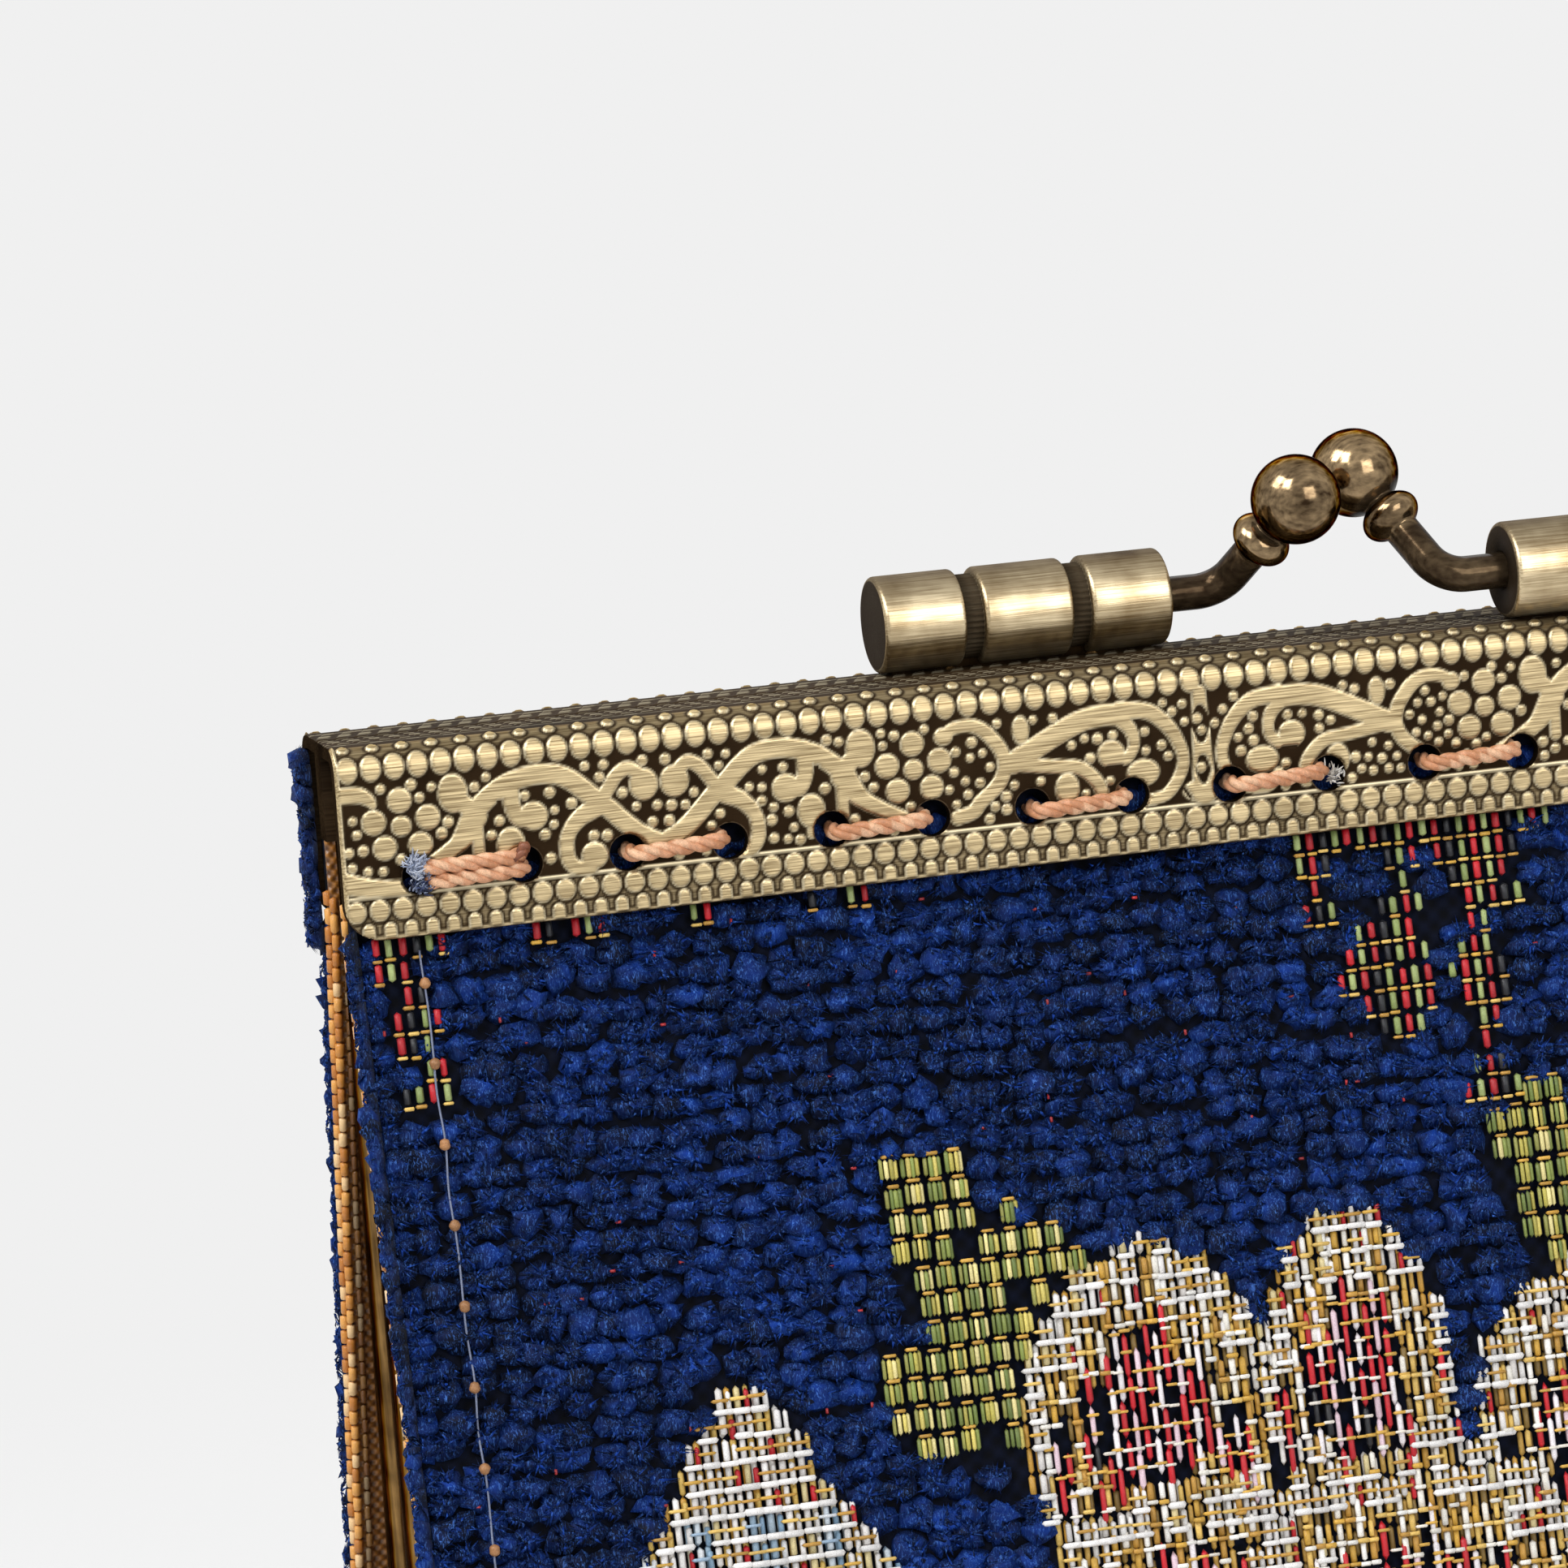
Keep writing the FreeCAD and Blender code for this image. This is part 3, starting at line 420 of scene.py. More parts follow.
def smooth_route(route, pieces=6):
    """A Catmull-Rom curve: each stretch is a cubic whose ends slope as their neighbours do."""
    p = np.asarray(route, float)
    if len(p) < 3:
        return p
    p = np.concatenate([2 * p[:1] - p[1:2], p, 2 * p[-1:] - p[-2:-1]])
    t = np.linspace(0, 1, pieces, endpoint=False)[None, :, None]
    a, b, c, d = p[:-3, None], p[1:-2, None], p[2:-1, None], p[3:, None]
    curve = 0.5 * (2 * b + (c - a) * t + (2 * a - 5 * b + 4 * c - d) * t ** 2
                   + (3 * b - a - 3 * c + d) * t ** 3)
    return np.concatenate([curve.reshape(-1, p.shape[1]), p[-2:-1]])


class Relief:
    """A grid over the unrolled sheet with the distance to the nearest raised shape, negative inside."""

    def __init__(self, step):
        self.x = np.arange(-FRAME_HALF, FRAME_HALF + step, step)
        self.x = np.linspace(-FRAME_HALF, FRAME_HALF, len(self.x) | 1)
        self.s = np.linspace(0, UNROLLED, int(UNROLLED / step) + 2)
        self.gap = np.full((len(self.s), len(self.x)), 9.0)

    def window(self, low_x, high_x, low_s, high_s):
        """The part of the grid that a shape can reach."""
        i = slice(*np.searchsorted(self.x, [low_x, high_x]))
        j = slice(*np.searchsorted(self.s, [low_s, high_s]))
        across, up = np.meshgrid(self.x[i], self.s[j])
        return (j, i), across, up

    def blob(self, x, s, wide, high=None):
        """An ellipse: (distance from its middle in radii, less 1) times its smaller radius."""
        high = high or wide
        place, across, up = self.window(x - wide - REACH, x + wide + REACH, s - high - REACH,
                                        s + high + REACH)
        ratio = np.hypot((across - x) / wide, (up - s) / high)
        self.gap[place] = np.minimum(self.gap[place], (ratio - 1) * min(wide, high))

    def band(self, route, width, cut=False):
        """A ribbon: the distance to the nearest short run of its middle line, less half its width there.
        It joins the relief, or with cut is taken out of it."""
        curve = smooth_route(route)
        widths = np.interp(np.linspace(0, 1, len(curve)), np.linspace(0, 1, np.size(width)),
                           np.atleast_1d(width))
        reach = widths.max() / 2 + REACH
        low, high = curve.min(0) - reach, curve.max(0) + reach
        place, across, up = self.window(low[0], high[0], low[1], high[1])
        spot = np.stack([across, up], -1)[:, :, None, :]
        start, run = curve[:-1], np.diff(curve, axis=0)
        share = np.clip(((spot - start) * run).sum(-1) / np.maximum((run ** 2).sum(-1), 1e-9), 0, 1)
        away = np.linalg.norm(spot - start - share[..., None] * run, axis=-1)
        half = (widths[:-1] + share * np.diff(widths)) / 2
        gap = (away - half).min(-1)
        self.gap[place] = np.maximum(self.gap[place], -gap) if cut else np.minimum(self.gap[place], gap)


# %% [markdown]
# The scrolls are drawn once, as ribbons and blobs beside an upright axis, and set down on both
# sides of every axis along the strip. Numbers are millimetres: beside the axis, and height
# above the table. The ribbons join where they touch, because the nearest shape always wins.

# %% The two scroll motifs
ARCH_RIBBONS = [
    ((0.95,), [(0, 71.9), (1.0, 72.41), (1.9, 73.19), (2.55, 73.86), (3.0, 74.19)]),
    ((1.0,), [(3.0, 74.19), (4.1, 75.24), (4.9, 75.74), (5.9, 75.89), (6.9, 75.77), (7.9, 75.39),
              (8.8, 74.74),
              (9.2, 74.19)]),
    ((1.3, 0.85, 0.7), [(9.2, 74.19), (9.7, 73.4), (10.2, 72.86), (11.2, 72.24), (12.1, 71.8)]),
    ((0.6,), [(9.1, 73.6), (9.1, 72.3)]),
    ((0.9,), [(9.3, 74.5), (9.9, 75.1)]),
    ((0.85, 0.8), [(7.35, 75.4), (7.3, 74.5), (7.0, 73.85), (6.5, 73.8)]),
    ((0.5,), [(7.5, 72.6), (7.45, 71.5)]),
    ((0.7,), [(0.9, 75.3), (1.5, 75.72), (2.1, 75.4), (2.5, 74.86), (3.0, 74.19)]),
    ((1.0, 0.75, 0.75, 0.75), [(3.2, 74.0), (4.1, 73.5), (4.7, 72.7), (4.75, 71.7), (4.35, 71.15),
                               (3.7, 71.1)]),
]
ARCH_BLOBS = [(10.16, 75.43, 0.74, 0.95), (6.3, 73.9, 0.72, 0.7), (7.5, 72.63, 0.7, 0.85),
              (0.77, 74.86, 0.73, 0.78), (3.42, 71.66, 0.66, 0.66)]
ARCH_CUTS = [((0.22,), [(7.95, 74.75), (7.9, 73.95)]), ((0.25,), [(1.75, 74.75), (1.75, 74.1)])]
CREST_RIBBONS = [
    ((0.6, 0.75, 0.75, 0.75), [(13.1, 75.65), (12.6, 75.91), (11.8, 75.95), (11.2, 75.66), (10.65, 75.08),
                               (10.26, 74.41), (10.2, 73.63), (10.6, 72.86), (11.5, 72.13), (11.9, 71.7),
                               (12.7, 71.47)]),
    ((1.1,), [(9.8, 73.86), (8.6, 74.47), (7.26, 75.13), (6.15, 75.58), (5.04, 75.74), (4.15, 75.69)]),
    ((0.8, 0.6, 0.6), [(4.3, 75.6), (3.65, 74.9), (3.5, 74.1), (3.9, 73.5), (4.4, 73.5)]),
    ((0.9, 0.65, 0.6), [(4.15, 75.9), (2.7, 75.69), (1.7, 74.86), (1.15, 73.86), (1.0, 73.08), (1.26, 72.3),
                        (1.9, 71.52), (2.7, 71.3)]),
    ((0.7,), [(9.4, 73.75), (7.5, 73.47), (6.4, 73.3), (5.6, 72.63), (5.3, 71.97), (5.35, 71.4)]),
    ((0.75, 1.3), [(0, 76.35), (0, 75.0), (0, 73.3), (0, 72.0), (0, 71.4)]),
    ((0.6,), [(2.6, 71.3), (3.4, 71.35), (3.9, 71.9)]),
]
CREST_BLOBS = [(13.2, 75.55, 0.48, 0.45), (4.7, 73.8, 0.7, 0.68), (7.04, 72.3, 0.62, 0.8),
               (3.1, 72.69, 0.85, 0.68), (9.26, 75.45, 0.44, 0.72), (0, 71.5, 1.1, 0.6)]
CREST_CUTS = [((0.5, 1.1, 0.5), [(0, 75.5), (0, 74.9), (0, 74.1)]),
              ((0.5, 0.8, 0.4), [(0, 73.0), (0, 72.5), (0, 72.0)]),
              ((0.2,), [(1.1, 71.75), (0.75, 71.2)]), ((0.22,), [(4.9, 73.15), (4.2, 73.15)])]
CLUSTER = [(0, 75.36, 0.61), (-1.33, 74.41, 0.61), (1.33, 74.41, 0.61), (0, 74.1, 0.5), (-0.87, 73.13, 0.6),
           (0.87, 73.13, 0.6)]


def set_motif(relief, axis, ribbons, blobs, cuts):
    """One motif on both sides of its axis."""
    for turn in (-1, 1):
        for widths, route in ribbons:
            relief.band([(axis + turn * x, z - CHANNEL_FOOT) for x, z in route], widths)
        for x, z, wide, high in blobs:
            relief.blob(axis + turn * x, z - CHANNEL_FOOT, wide, high)
    for turn in (-1, 1):
        for widths, route in cuts:
            relief.band([(axis + turn * x, z - CHANNEL_FOOT) for x, z in route], widths, cut=True)


def draw_relief(step):
    """The whole strip: motifs, pearls, teeth, ridges, and small dots that fill the ground that is left."""
    relief = Relief(step)
    for start in (-36.66, 18.64):
        set_motif(relief, start, ARCH_RIBBONS, ARCH_BLOBS, ARCH_CUTS)
    for start in (-9.07, 46.23):
        set_motif(relief, start, CREST_RIBBONS, CREST_BLOBS, CREST_CUTS)
    for start in (-49.44, -23.88, 5.86, 31.42):
        for x, z, size in CLUSTER:
            relief.blob(start + x, z - CHANNEL_FOOT, size)
    relief.band([(-52.4, 7.15), (-51.4, 7.1), (-50.9, 6.8), (-50.75, 6.55)], (0.8, 0.8, 0.6, 0.4))
    relief.band([(-52.4, 2.9), (-51.2, 2.6), (-50.0, 2.45), (-49.2, 2.5)], (1.1, 0.9, 0.8, 0.8))
    rng = np.random.default_rng(11)
    spots = np.stack([rng.uniform(-52.1, 52.1, 26000), rng.uniform(2.48, 7.36, 26000)], 1)
    column = np.searchsorted(relief.x, spots[:, 0]).clip(0, len(relief.x) - 1)
    room = relief.gap[np.searchsorted(relief.s, spots[:, 1]), column]
    holes = np.hypot(spots[:, None, 0] - HOLES[None], spots[:, None, 1] - HOLE_LEVEL).min(1) - HOLE_RADIUS
    room = np.minimum(room, holes)
    spots, room = spots[room > 0.32], room[room > 0.32]
    spots = spots[np.argsort(room + rng.uniform(0, 0.25, len(room)))]
    dots = np.full((1, 2), 99.0)
    for spot in spots:
        if np.hypot(*(dots - spot).T).min() > 0.62:
            dots = np.concatenate([dots, [spot]])
    sizes = rng.uniform(0.21, 0.28, len(dots))
    for (x, s), size in zip(dots[1:], sizes[1:]):
        relief.blob(x, s, size)
    for x in np.arange(-51.95, 52.4, 1.145):
        relief.blob(x, 1.45, 0.49, 0.53)
        relief.blob(x + 0.1, 8.32, 0.5, 0.62)
    for x in np.arange(-51.4, 51.6, 1.04):
        relief.band([(x, 0.1), (x, 0.52)], 0.62)
    for x in np.arange(-51.9, 52.3, 1.45):
        relief.blob(x, 9.4, 0.3, 0.24)
    relief.band([(-52.5, 2.12), (52.5, 2.12)], 0.14)
    relief.band([(-52.5, 0.05), (52.5, 0.05)], 0.22)
    for end in (-1, 1):
        relief.band([(end * 52.42, 1.6), (end * 52.42, 9.6)], 0.3)
    print("small dots", len(dots) - 1, "grid", relief.gap.shape)
    return relief


# %% The relief skins over the channels


def wrap_channel(x, s, height, side):
    """Unrolled sheet to space: up the face, round the bend by the angle (s - face) / bend, and over
    the top."""
    turn = np.clip((s - FACE) / BEND, 0, math.pi / 2)
    face = np.minimum(s, FACE)
    flat = np.maximum(s - FACE - ARC, 0)
    y = 2.7 - flat + (BEND + height) * np.cos(turn)
    z = CHANNEL_FOOT + face + (BEND + height) * np.sin(turn)
    return np.stack([x, side * y, z], -1)


def relief_skin(side, end, relief):
    """Half a channel's skin, with its sewing holes left open and every rim let down into the brass below."""
    columns = slice(0, len(relief.x) // 2 + 1) if end < 0 else slice(len(relief.x) // 2, None)
    x, s = np.meshgrid(relief.x[columns], relief.s)
    gap = relief.gap[:, columns]
    rise = np.clip((0.06 - gap) / 0.13, 0, 1)
    rise = rise * rise * (3 - 2 * rise)
    # Painted highlight: a thin ring just inside the edge of each raised shape, later used at 0.55.
    painted_highlight = 0.8 * np.clip(1 - np.abs(-gap - 0.03) / 0.05, 0, 1)
    border = np.clip((2.3 - s) / 0.2, 0, 1) + np.clip((s - 8.75) / 0.3, 0, 1)
    worn = 0.42 * border * np.clip((gap - 0.1) / 0.1, 0, 1)
    tint = np.maximum(rise, worn)
    over = s > 9.75
    row = np.floor((s - 10.55) / 0.42)
    cell_x = np.abs((x + 0.18 * row) % 1 - 0.5)
    cell_s = np.abs((s - 10.55) / 0.42 - row - 0.5) * 0.42
    pads = np.clip((0.03 - np.maximum(cell_x - 0.3, cell_s - 0.13)) / 0.07, 0, 1) * (s > 10.6)
    rise = np.where(over, pads, rise)
    # Painted highlight on the flat top: short dashes over the pads and a broken line along s = 10.5.
    dash = (cell_x < 0.3) & (cell_s < 0.05) & (s > 10.6)
    seam = (np.abs(s - 10.5) < 0.06) * (0.35 + 0.4 * (np.sin(6.28 * x / 1.8) > 0.5))
    painted_highlight = np.where(over, 0.3 * dash + 0.7 * seam, 0.55 * painted_highlight)
    # Painted shade over real patina: the flat top, pads and all, stays near the dark hollow colour, and the
    # pads and dashes lift it only a little.
    tint = np.where(over, 0.01 + 0.03 * pads + 0.12 * dash, tint)
    size = np.where(over, 0.045, EMBOSS)
    rim = np.minimum.reduce([FRAME_HALF - np.abs(x), s, UNROLLED - s])
    drop = np.zeros(x.shape, bool)
    near = 0.62 * (relief.x[1] - relief.x[0])
    corner_x = FRAME_HALF - CORNER
    beyond = (np.abs(x) > corner_x) & (s < CORNER)
    reach = np.hypot(np.abs(x) - corner_x, s - CORNER)
    snap = beyond & (np.abs(reach - CORNER) < near)
    x = np.where(snap, np.sign(x) * (corner_x + (np.abs(x) - corner_x) * CORNER / reach), x)
    s = np.where(snap, CORNER + (s - CORNER) * CORNER / reach, s)
    drop |= beyond & (reach > CORNER + near)
    rim = np.where(beyond, np.minimum(rim, CORNER - reach), rim)
    for hole in HOLES:
        reach = np.hypot(x - hole, s - HOLE_LEVEL)
        snap = np.abs(reach - HOLE_RADIUS) < near
        factor = np.where(snap, HOLE_RADIUS / np.maximum(reach, 0.1), 1)
        x = hole + (x - hole) * factor
        s = HOLE_LEVEL + (s - HOLE_LEVEL) * factor
        drop |= reach < HOLE_RADIUS - near
        rim = np.minimum(rim, reach - HOLE_RADIUS)
    seat = np.clip(rim / 0.12, 0, 1)
    height = 0.03 + size * rise
    height = height * seat - 0.03 * (1 - seat)
    points = wrap_channel(x, s, height, side).reshape(-1, 3)
    faces = grid_faces(*x.shape)
    faces = faces[~drop.ravel()[faces].any(1)]
    if side == BACK:
        faces = faces[:, ::-1]
    used, faces = np.unique(faces, return_inverse=True)
    faces = faces.reshape(-1, 4)
    name = f"{SIDE_NAME[side]}_relief_{'left' if end < 0 else 'right'}"
    return make_piece(name, points[used], [faces], EMBOSSED, HALF[side], "antique_brass",
                      values={"relief": tint.ravel()[used], "painted_highlight": (painted_highlight * seat).ravel()[used]})


for side, step in ((FRONT, 0.09), (BACK, 0.125)):
    strip = draw_relief(step)
    for end in (-1, 1):
        relief_skin(side, end, strip)
dress(("front_channel", "back_channel"), CHANNEL_BRASS)

# %% [markdown]
# ## The clasp
# Each half of the frame carries a turned barrel, riveted to its top, and a knob on a bent arm
# that springs past the other. The barrels are turned with two knurled grooves and brushed along
# their length, so they are rings along X. The knobs are one cast piece each: rod, round collar
# and ball, which is one circle whose radius changes as it is carried along the bent arm.

# %% Barrels
BARREL_AXIS = 80.54
BARREL_RADIUS = 2.42
BARREL_Y = 1.95
GROOVE_ROOT = BARREL_RADIUS - 0.38
GROOVE_WIDTH = 0.95
AROUND = 176
SOLDER_LEVEL = 78.42


def rounded_step(start, finish, radius, root, corner=0.24):
    """Profile of one barrel segment: up from the groove, round the rim, along, round the rim and down."""
    turn = np.linspace(0, math.pi / 2, 6)
    left = np.stack([start + corner * (1 - np.cos(turn)), radius - corner * (1 - np.sin(turn))], 1)
    right = np.stack([finish - corner * (1 - np.sin(turn)), radius - corner * (1 - np.cos(turn))], 1)
    middle = np.stack([np.linspace(start + corner, finish - corner, 6)[1:-1], np.full(4, radius)], 1)
    return np.concatenate([[(start, root)], left, middle, right, [(finish, root)]])


def barrel(name, side, closed_end, heading):
    """A turned barrel: rings of the profile (along, radius), with 44 knurls round each groove."""
    parts, place = [], 0.0
    for length in (4.2, 4.6, 4.2):
        parts.append(rounded_step(place, place + length, BARREL_RADIUS, GROOVE_ROOT))
        place += length + GROOVE_WIDTH
    length = place - GROOVE_WIDTH
    profile = np.concatenate([[(0, 1.2), (0, 2.0)], np.concatenate(parts)[1:-1],
                              [(length, 1.0), (length - 1.9, 1.0), (length - 1.9, 0.5)]])
    path = np.stack([closed_end + heading * profile[:, 0], np.full(len(profile), side * BARREL_Y),
                     np.full(len(profile), BARREL_AXIS)], 1)
    groove = (np.abs(profile[:, 1] - GROOVE_ROOT) < 1e-6) & (profile[:, 0] > 1) & (profile[:, 0] < length - 1)

    def knurl(angle):
        return 1 + 0.03 * groove[:, None] * np.clip(2.2 * np.cos(44 * angle), -1, 1)[None]

    points, faces = tube(path, profile[:, 1], (0, 1, 0), along=(heading, 0, 0), around=AROUND, ripple=knurl)
    rim = np.minimum(np.abs(points[:, 0] - closed_end), np.abs(points[:, 0] - closed_end - heading * length))
    flat_end = np.hypot(points[:, 1] - side * BARREL_Y, points[:, 2] - BARREL_AXIS) < BARREL_RADIUS - 0.2
    turn = (points[:, 2] - BARREL_AXIS) / BARREL_RADIUS
    # Painted shade: bands along the top and the bottom of the barrel are darkened through the attribute, as
    # the dark around it would shade them; the knurled grooves and the rim of the flat end keep their patina.
    patina_and_shade = np.clip((turn - 0.45) / 0.5, 0, 1) * 0.75 + np.clip((-0.55 - turn) / 0.4, 0, 1) * 0.7
    patina_and_shade = np.maximum(patina_and_shade, np.append(np.repeat(groove, AROUND), [False, False]) * 0.92)
    patina_and_shade = np.maximum(patina_and_shade, ((rim < 0.3) & flat_end) * 0.97)
    return make_piece(f"{name}_turned", points, faces, BARREL_BRASS, HALF[side], "antique_brass", (name,),
                      values={"patina_and_painted_shade": patina_and_shade})


def solder(name, side, closed_end, heading):
    """The soldered joint under a barrel: a slightly uneven tube along the frame's top, dark all over as
    painted shadow under the barrel.
    """
    along = np.linspace(0.5, 14.4, 60)
    path = np.stack([closed_end + heading * along, np.full(60, side * BARREL_Y), np.full(60, SOLDER_LEVEL)],
                    1)
    radius = 0.52 + 0.05 * np.sin(2.3 * along) + 0.03 * np.sin(5.1 * along)
    radius[[0, -1]] = 0.2
    points, faces = tube(path, radius, (0, 1, 0), along=(heading, 0, 0), around=14)
    # Painted shadow: the whole bead is set at 0.9 of the darkening attribute, so it reads as the shade
    # beneath the barrel.
    return make_piece(f"{name}_solder", points, faces, LEG_BRASS, HALF[side], "antique_brass",
                      values={"patina_and_painted_shade": np.full(len(points), 0.9)})


for shape in (barrel, solder):
    shape("barrel_left", BACK, -23.8, 1)
    shape("barrel_right", FRONT, 22.8, -1)

# %% Knobs on their bent arms
ROD = 0.9
ARM_BEND = 2.0
BALL = 2.25
COLLAR = 1.55


def arm_path(mouth, heading, side, ball):
    """Straight out of the barrel, an arc of 2 mm radius, and straight to the ball, all in one plane."""
    bend_start = np.array([mouth + heading * 1.9, side * BARREL_Y, BARREL_AXIS])
    reach = (ball[0] - bend_start[0]) * heading
    lift = np.array([0, ball[1] - bend_start[1], ball[2] - bend_start[2]])
    high = np.linalg.norm(lift)
    lift = lift / high
    far = math.hypot(reach, high - ARM_BEND)
    turn = math.atan2(high - ARM_BEND, reach) + math.pi / 2 - math.acos(ARM_BEND / far)
    angles = np.linspace(0, turn, 26)
    flat = np.concatenate([
        np.stack([np.linspace(-3.65, 0, 16)[:-1], np.zeros(15)], 1),
        np.stack([ARM_BEND * np.sin(angles), ARM_BEND * (1 - np.cos(angles))], 1)])
    arc_end = flat[-1]
    run = np.array([reach, high]) - arc_end
    size = np.linalg.norm(run)
    over_ball = size + BALL * np.sin(np.linspace(0, math.pi / 2, 30))[1:]
    share = np.concatenate([np.linspace(0, size, 70)[1:], over_ball])
    flat = np.concatenate([flat, arc_end + share[:, None] * run / size])
    lengths = np.concatenate([[0], np.cumsum(np.linalg.norm(np.diff(flat, axis=0), axis=1))])
    path = bend_start + flat[:, :1] * np.array([heading, 0, 0]) + flat[:, 1:] * lift
    across = np.cross([heading, 0, 0], lift)
    return path, across, lengths, lengths[-1] - BALL


def knob(name, body, mouth, heading, side, ball):
    """One circle along the arm: the rod, a squashed collar 3 mm before the ball, and the ball itself."""
    path, across, length, middle = arm_path(mouth, heading, side, np.array(ball))
    sphere = np.sqrt(np.clip(BALL ** 2 - (length - middle) ** 2, 0, None))
    collar = COLLAR * np.sqrt(np.clip(1 - ((length - middle + 3.0) / 1.05) ** 2, 0, None))
    rod = np.where(length < middle, ROD, 0.0)
    radius = np.maximum.reduce([sphere, collar, rod, np.full(len(length), 0.02)])
    points, faces = tube(path, radius, across, around=56)
    # The neck between collar and ball keeps its patina. Painted reflection: the rod before the collar is
    # darkened nearly to black, as a dark surround would show in it.
    neck = np.clip(1 - np.abs(length - middle + 2.0) / 0.35, 0, 1)
    arm = np.clip((middle - 3.6 - length) / 0.8, 0, 1) * 0.8
    patina_and_shade = np.append(np.repeat(np.clip(neck + arm, 0, 0.85), 56), [0.4, 0.0])
    return make_piece(f"{name}_cast", points, faces, KNOB_BRASS, body, "dark_brass", (name,),
                      values={"patina_and_painted_shade": patina_and_shade})


knob("knob_left", "left_knob", -8.9, 1, BACK, (-2.75, -2.0, 85.15))
knob("knob_right", "right_knob", 7.9, -1, FRONT, (1.79, 2.0, 85.7))

# %% [markdown]
# ## Legs and rivets
# Under the frame two brass strips hang down each side of the purse and meet in a riveted hinge.
# They are half-round strip, bent and flattened into an ear at the foot, so each one is a stack
# of rounded rectangles: the front and back edge of the strip are read at every height, and the
# corners come from a superellipse. Rivets keep the model's own shape and only take the finish.

# %% Legs
LEG_LEVELS = [5.8, 8.0, 24.0, 68.7, 73.1, 73.2, 77.3]
LEG_NEAR = [-1.54, -1.54, 1.5, 0.1, 0.1, 0.68, 0.68]
LEG_FAR = [1.54, 1.54, 4.5, 1.83, 1.83, 1.83, 1.83]


def leg(name, side, end):
    """Rings of a superellipse of power 3 between the strip's near and far edge, with a round ear at
    the foot."""
    z = np.concatenate([8 - 2.2 * np.cos(np.linspace(0, math.pi, 30)), np.linspace(10.3, 77.3, 170)])
    near, far = np.interp(z, LEG_LEVELS, LEG_NEAR), np.interp(z, LEG_LEVELS, LEG_FAR)
    blur = np.hanning(15) / np.hanning(15).sum()
    middle = slice(35, 150)
    near[middle] = np.convolve(near, blur, "same")[middle]
    far[middle] = np.convolve(far, blur, "same")[middle]
    ear = np.sqrt(np.clip(2.2 ** 2 - (z - 8) ** 2, 0.0, None))
    near = np.where(z < 10.2, np.where(z < 8, -ear, np.minimum(near, -ear)), near)
    far = np.where(z < 10.2, np.where(z < 8, ear, np.maximum(far, ear)), far)
    inboard = 51.0 - (1.05 * np.clip((20.6 - z) / 2.6, 0, 1) if side == FRONT else 0.0)
    outward = np.clip((z - 12) / 3, 0, 1) * np.clip((76 - z) / 2, 0, 1) * 0.12
    around = 28
    angle = np.linspace(0, 2 * math.pi, around, endpoint=False)
    wide = np.sign(np.cos(angle)) * np.abs(np.cos(angle)) ** 0.67
    thick = np.sign(np.sin(angle)) * np.abs(np.sin(angle)) ** 0.67
    y = side * ((near + far) / 2)[:, None] + ((far - near) / 2)[:, None] * wide
    x = end * (inboard + outward)[:, None] + (0.49 + outward)[:, None] * thick
    rings = np.stack([x, y, np.broadcast_to(z[:, None], x.shape)], -1)
    count = rings.shape[0] * around
    here = np.arange(around)
    after = (here + 1) % around
    last = count - around
    caps = np.concatenate([np.stack([np.full(around, count), here, after], 1),
                           np.stack([np.full(around, count + 1), last + after, last + here], 1)])
    points = np.concatenate([rings.reshape(-1, 3), rings[:1].mean(1), rings[-1:].mean(1)])
    faces = [grid_faces(rings.shape[0], around, ring=True)[:, ::-1], caps]
    return make_piece(f"{name}_strip", points, faces, LEG_BRASS, HALF[side], "dark_brass", (name,))


for end, word in ((-1, "left"), (1, "right")):
    leg(f"front_leg_{word}", FRONT, end)
    leg(f"back_leg_{word}", BACK, end)

# %% Rivets and boards
dress(("hinge_rivet_left", "hinge_rivet_right", "barrel_rivets_left", "barrel_rivets_right"), LEG_BRASS)
dress(("front_board", "back_board"), BOARD)

# %% [markdown]
# ## Where cloth lies
# A panel hangs straight inside its channel and then leans out to the foot, and the soft base
# is a U that joins the two. Both are flat cloth rolled in one direction only, so a place on them
# is a place on the flat cut: x along the frame, t down the cloth, and out from its face.

# %% Places on the panels and on the base
CLOTH_HALF = 52.1
CLOTH_FACE = 3.25
LEAN = math.radians(12.5)
PANEL_RUN = (CHANNEL_FOOT - 18.0) / math.cos(LEAN)
BASE_FACE = 14.56
BASE_RADIUS = 9.0
BASE_SIDE = 17.7 - BASE_RADIUS
BASE_ARC = BASE_RADIUS * math.pi / 2
BASE_FLOOR = 2 * (BASE_FACE - BASE_RADIUS)
BASE_RUN = 2 * BASE_SIDE + 2 * BASE_ARC + BASE_FLOOR


def on_panel(x, t, out, side):
    """Above t = 0 the cloth is upright; below, it slopes out by 12.5 degrees, and out stands square to it."""
    down = np.maximum(t, 0)
    lean = LEAN * np.clip((t + 0.6) / 1.2, 0, 1)
    y = CLOTH_FACE + down * math.sin(LEAN) + out * np.cos(lean)
    z = CHANNEL_FOOT - np.minimum(t, 0) - down * math.cos(LEAN) + out * np.sin(lean)
    return np.stack(np.broadcast_arrays(x, side * y, z), -1)


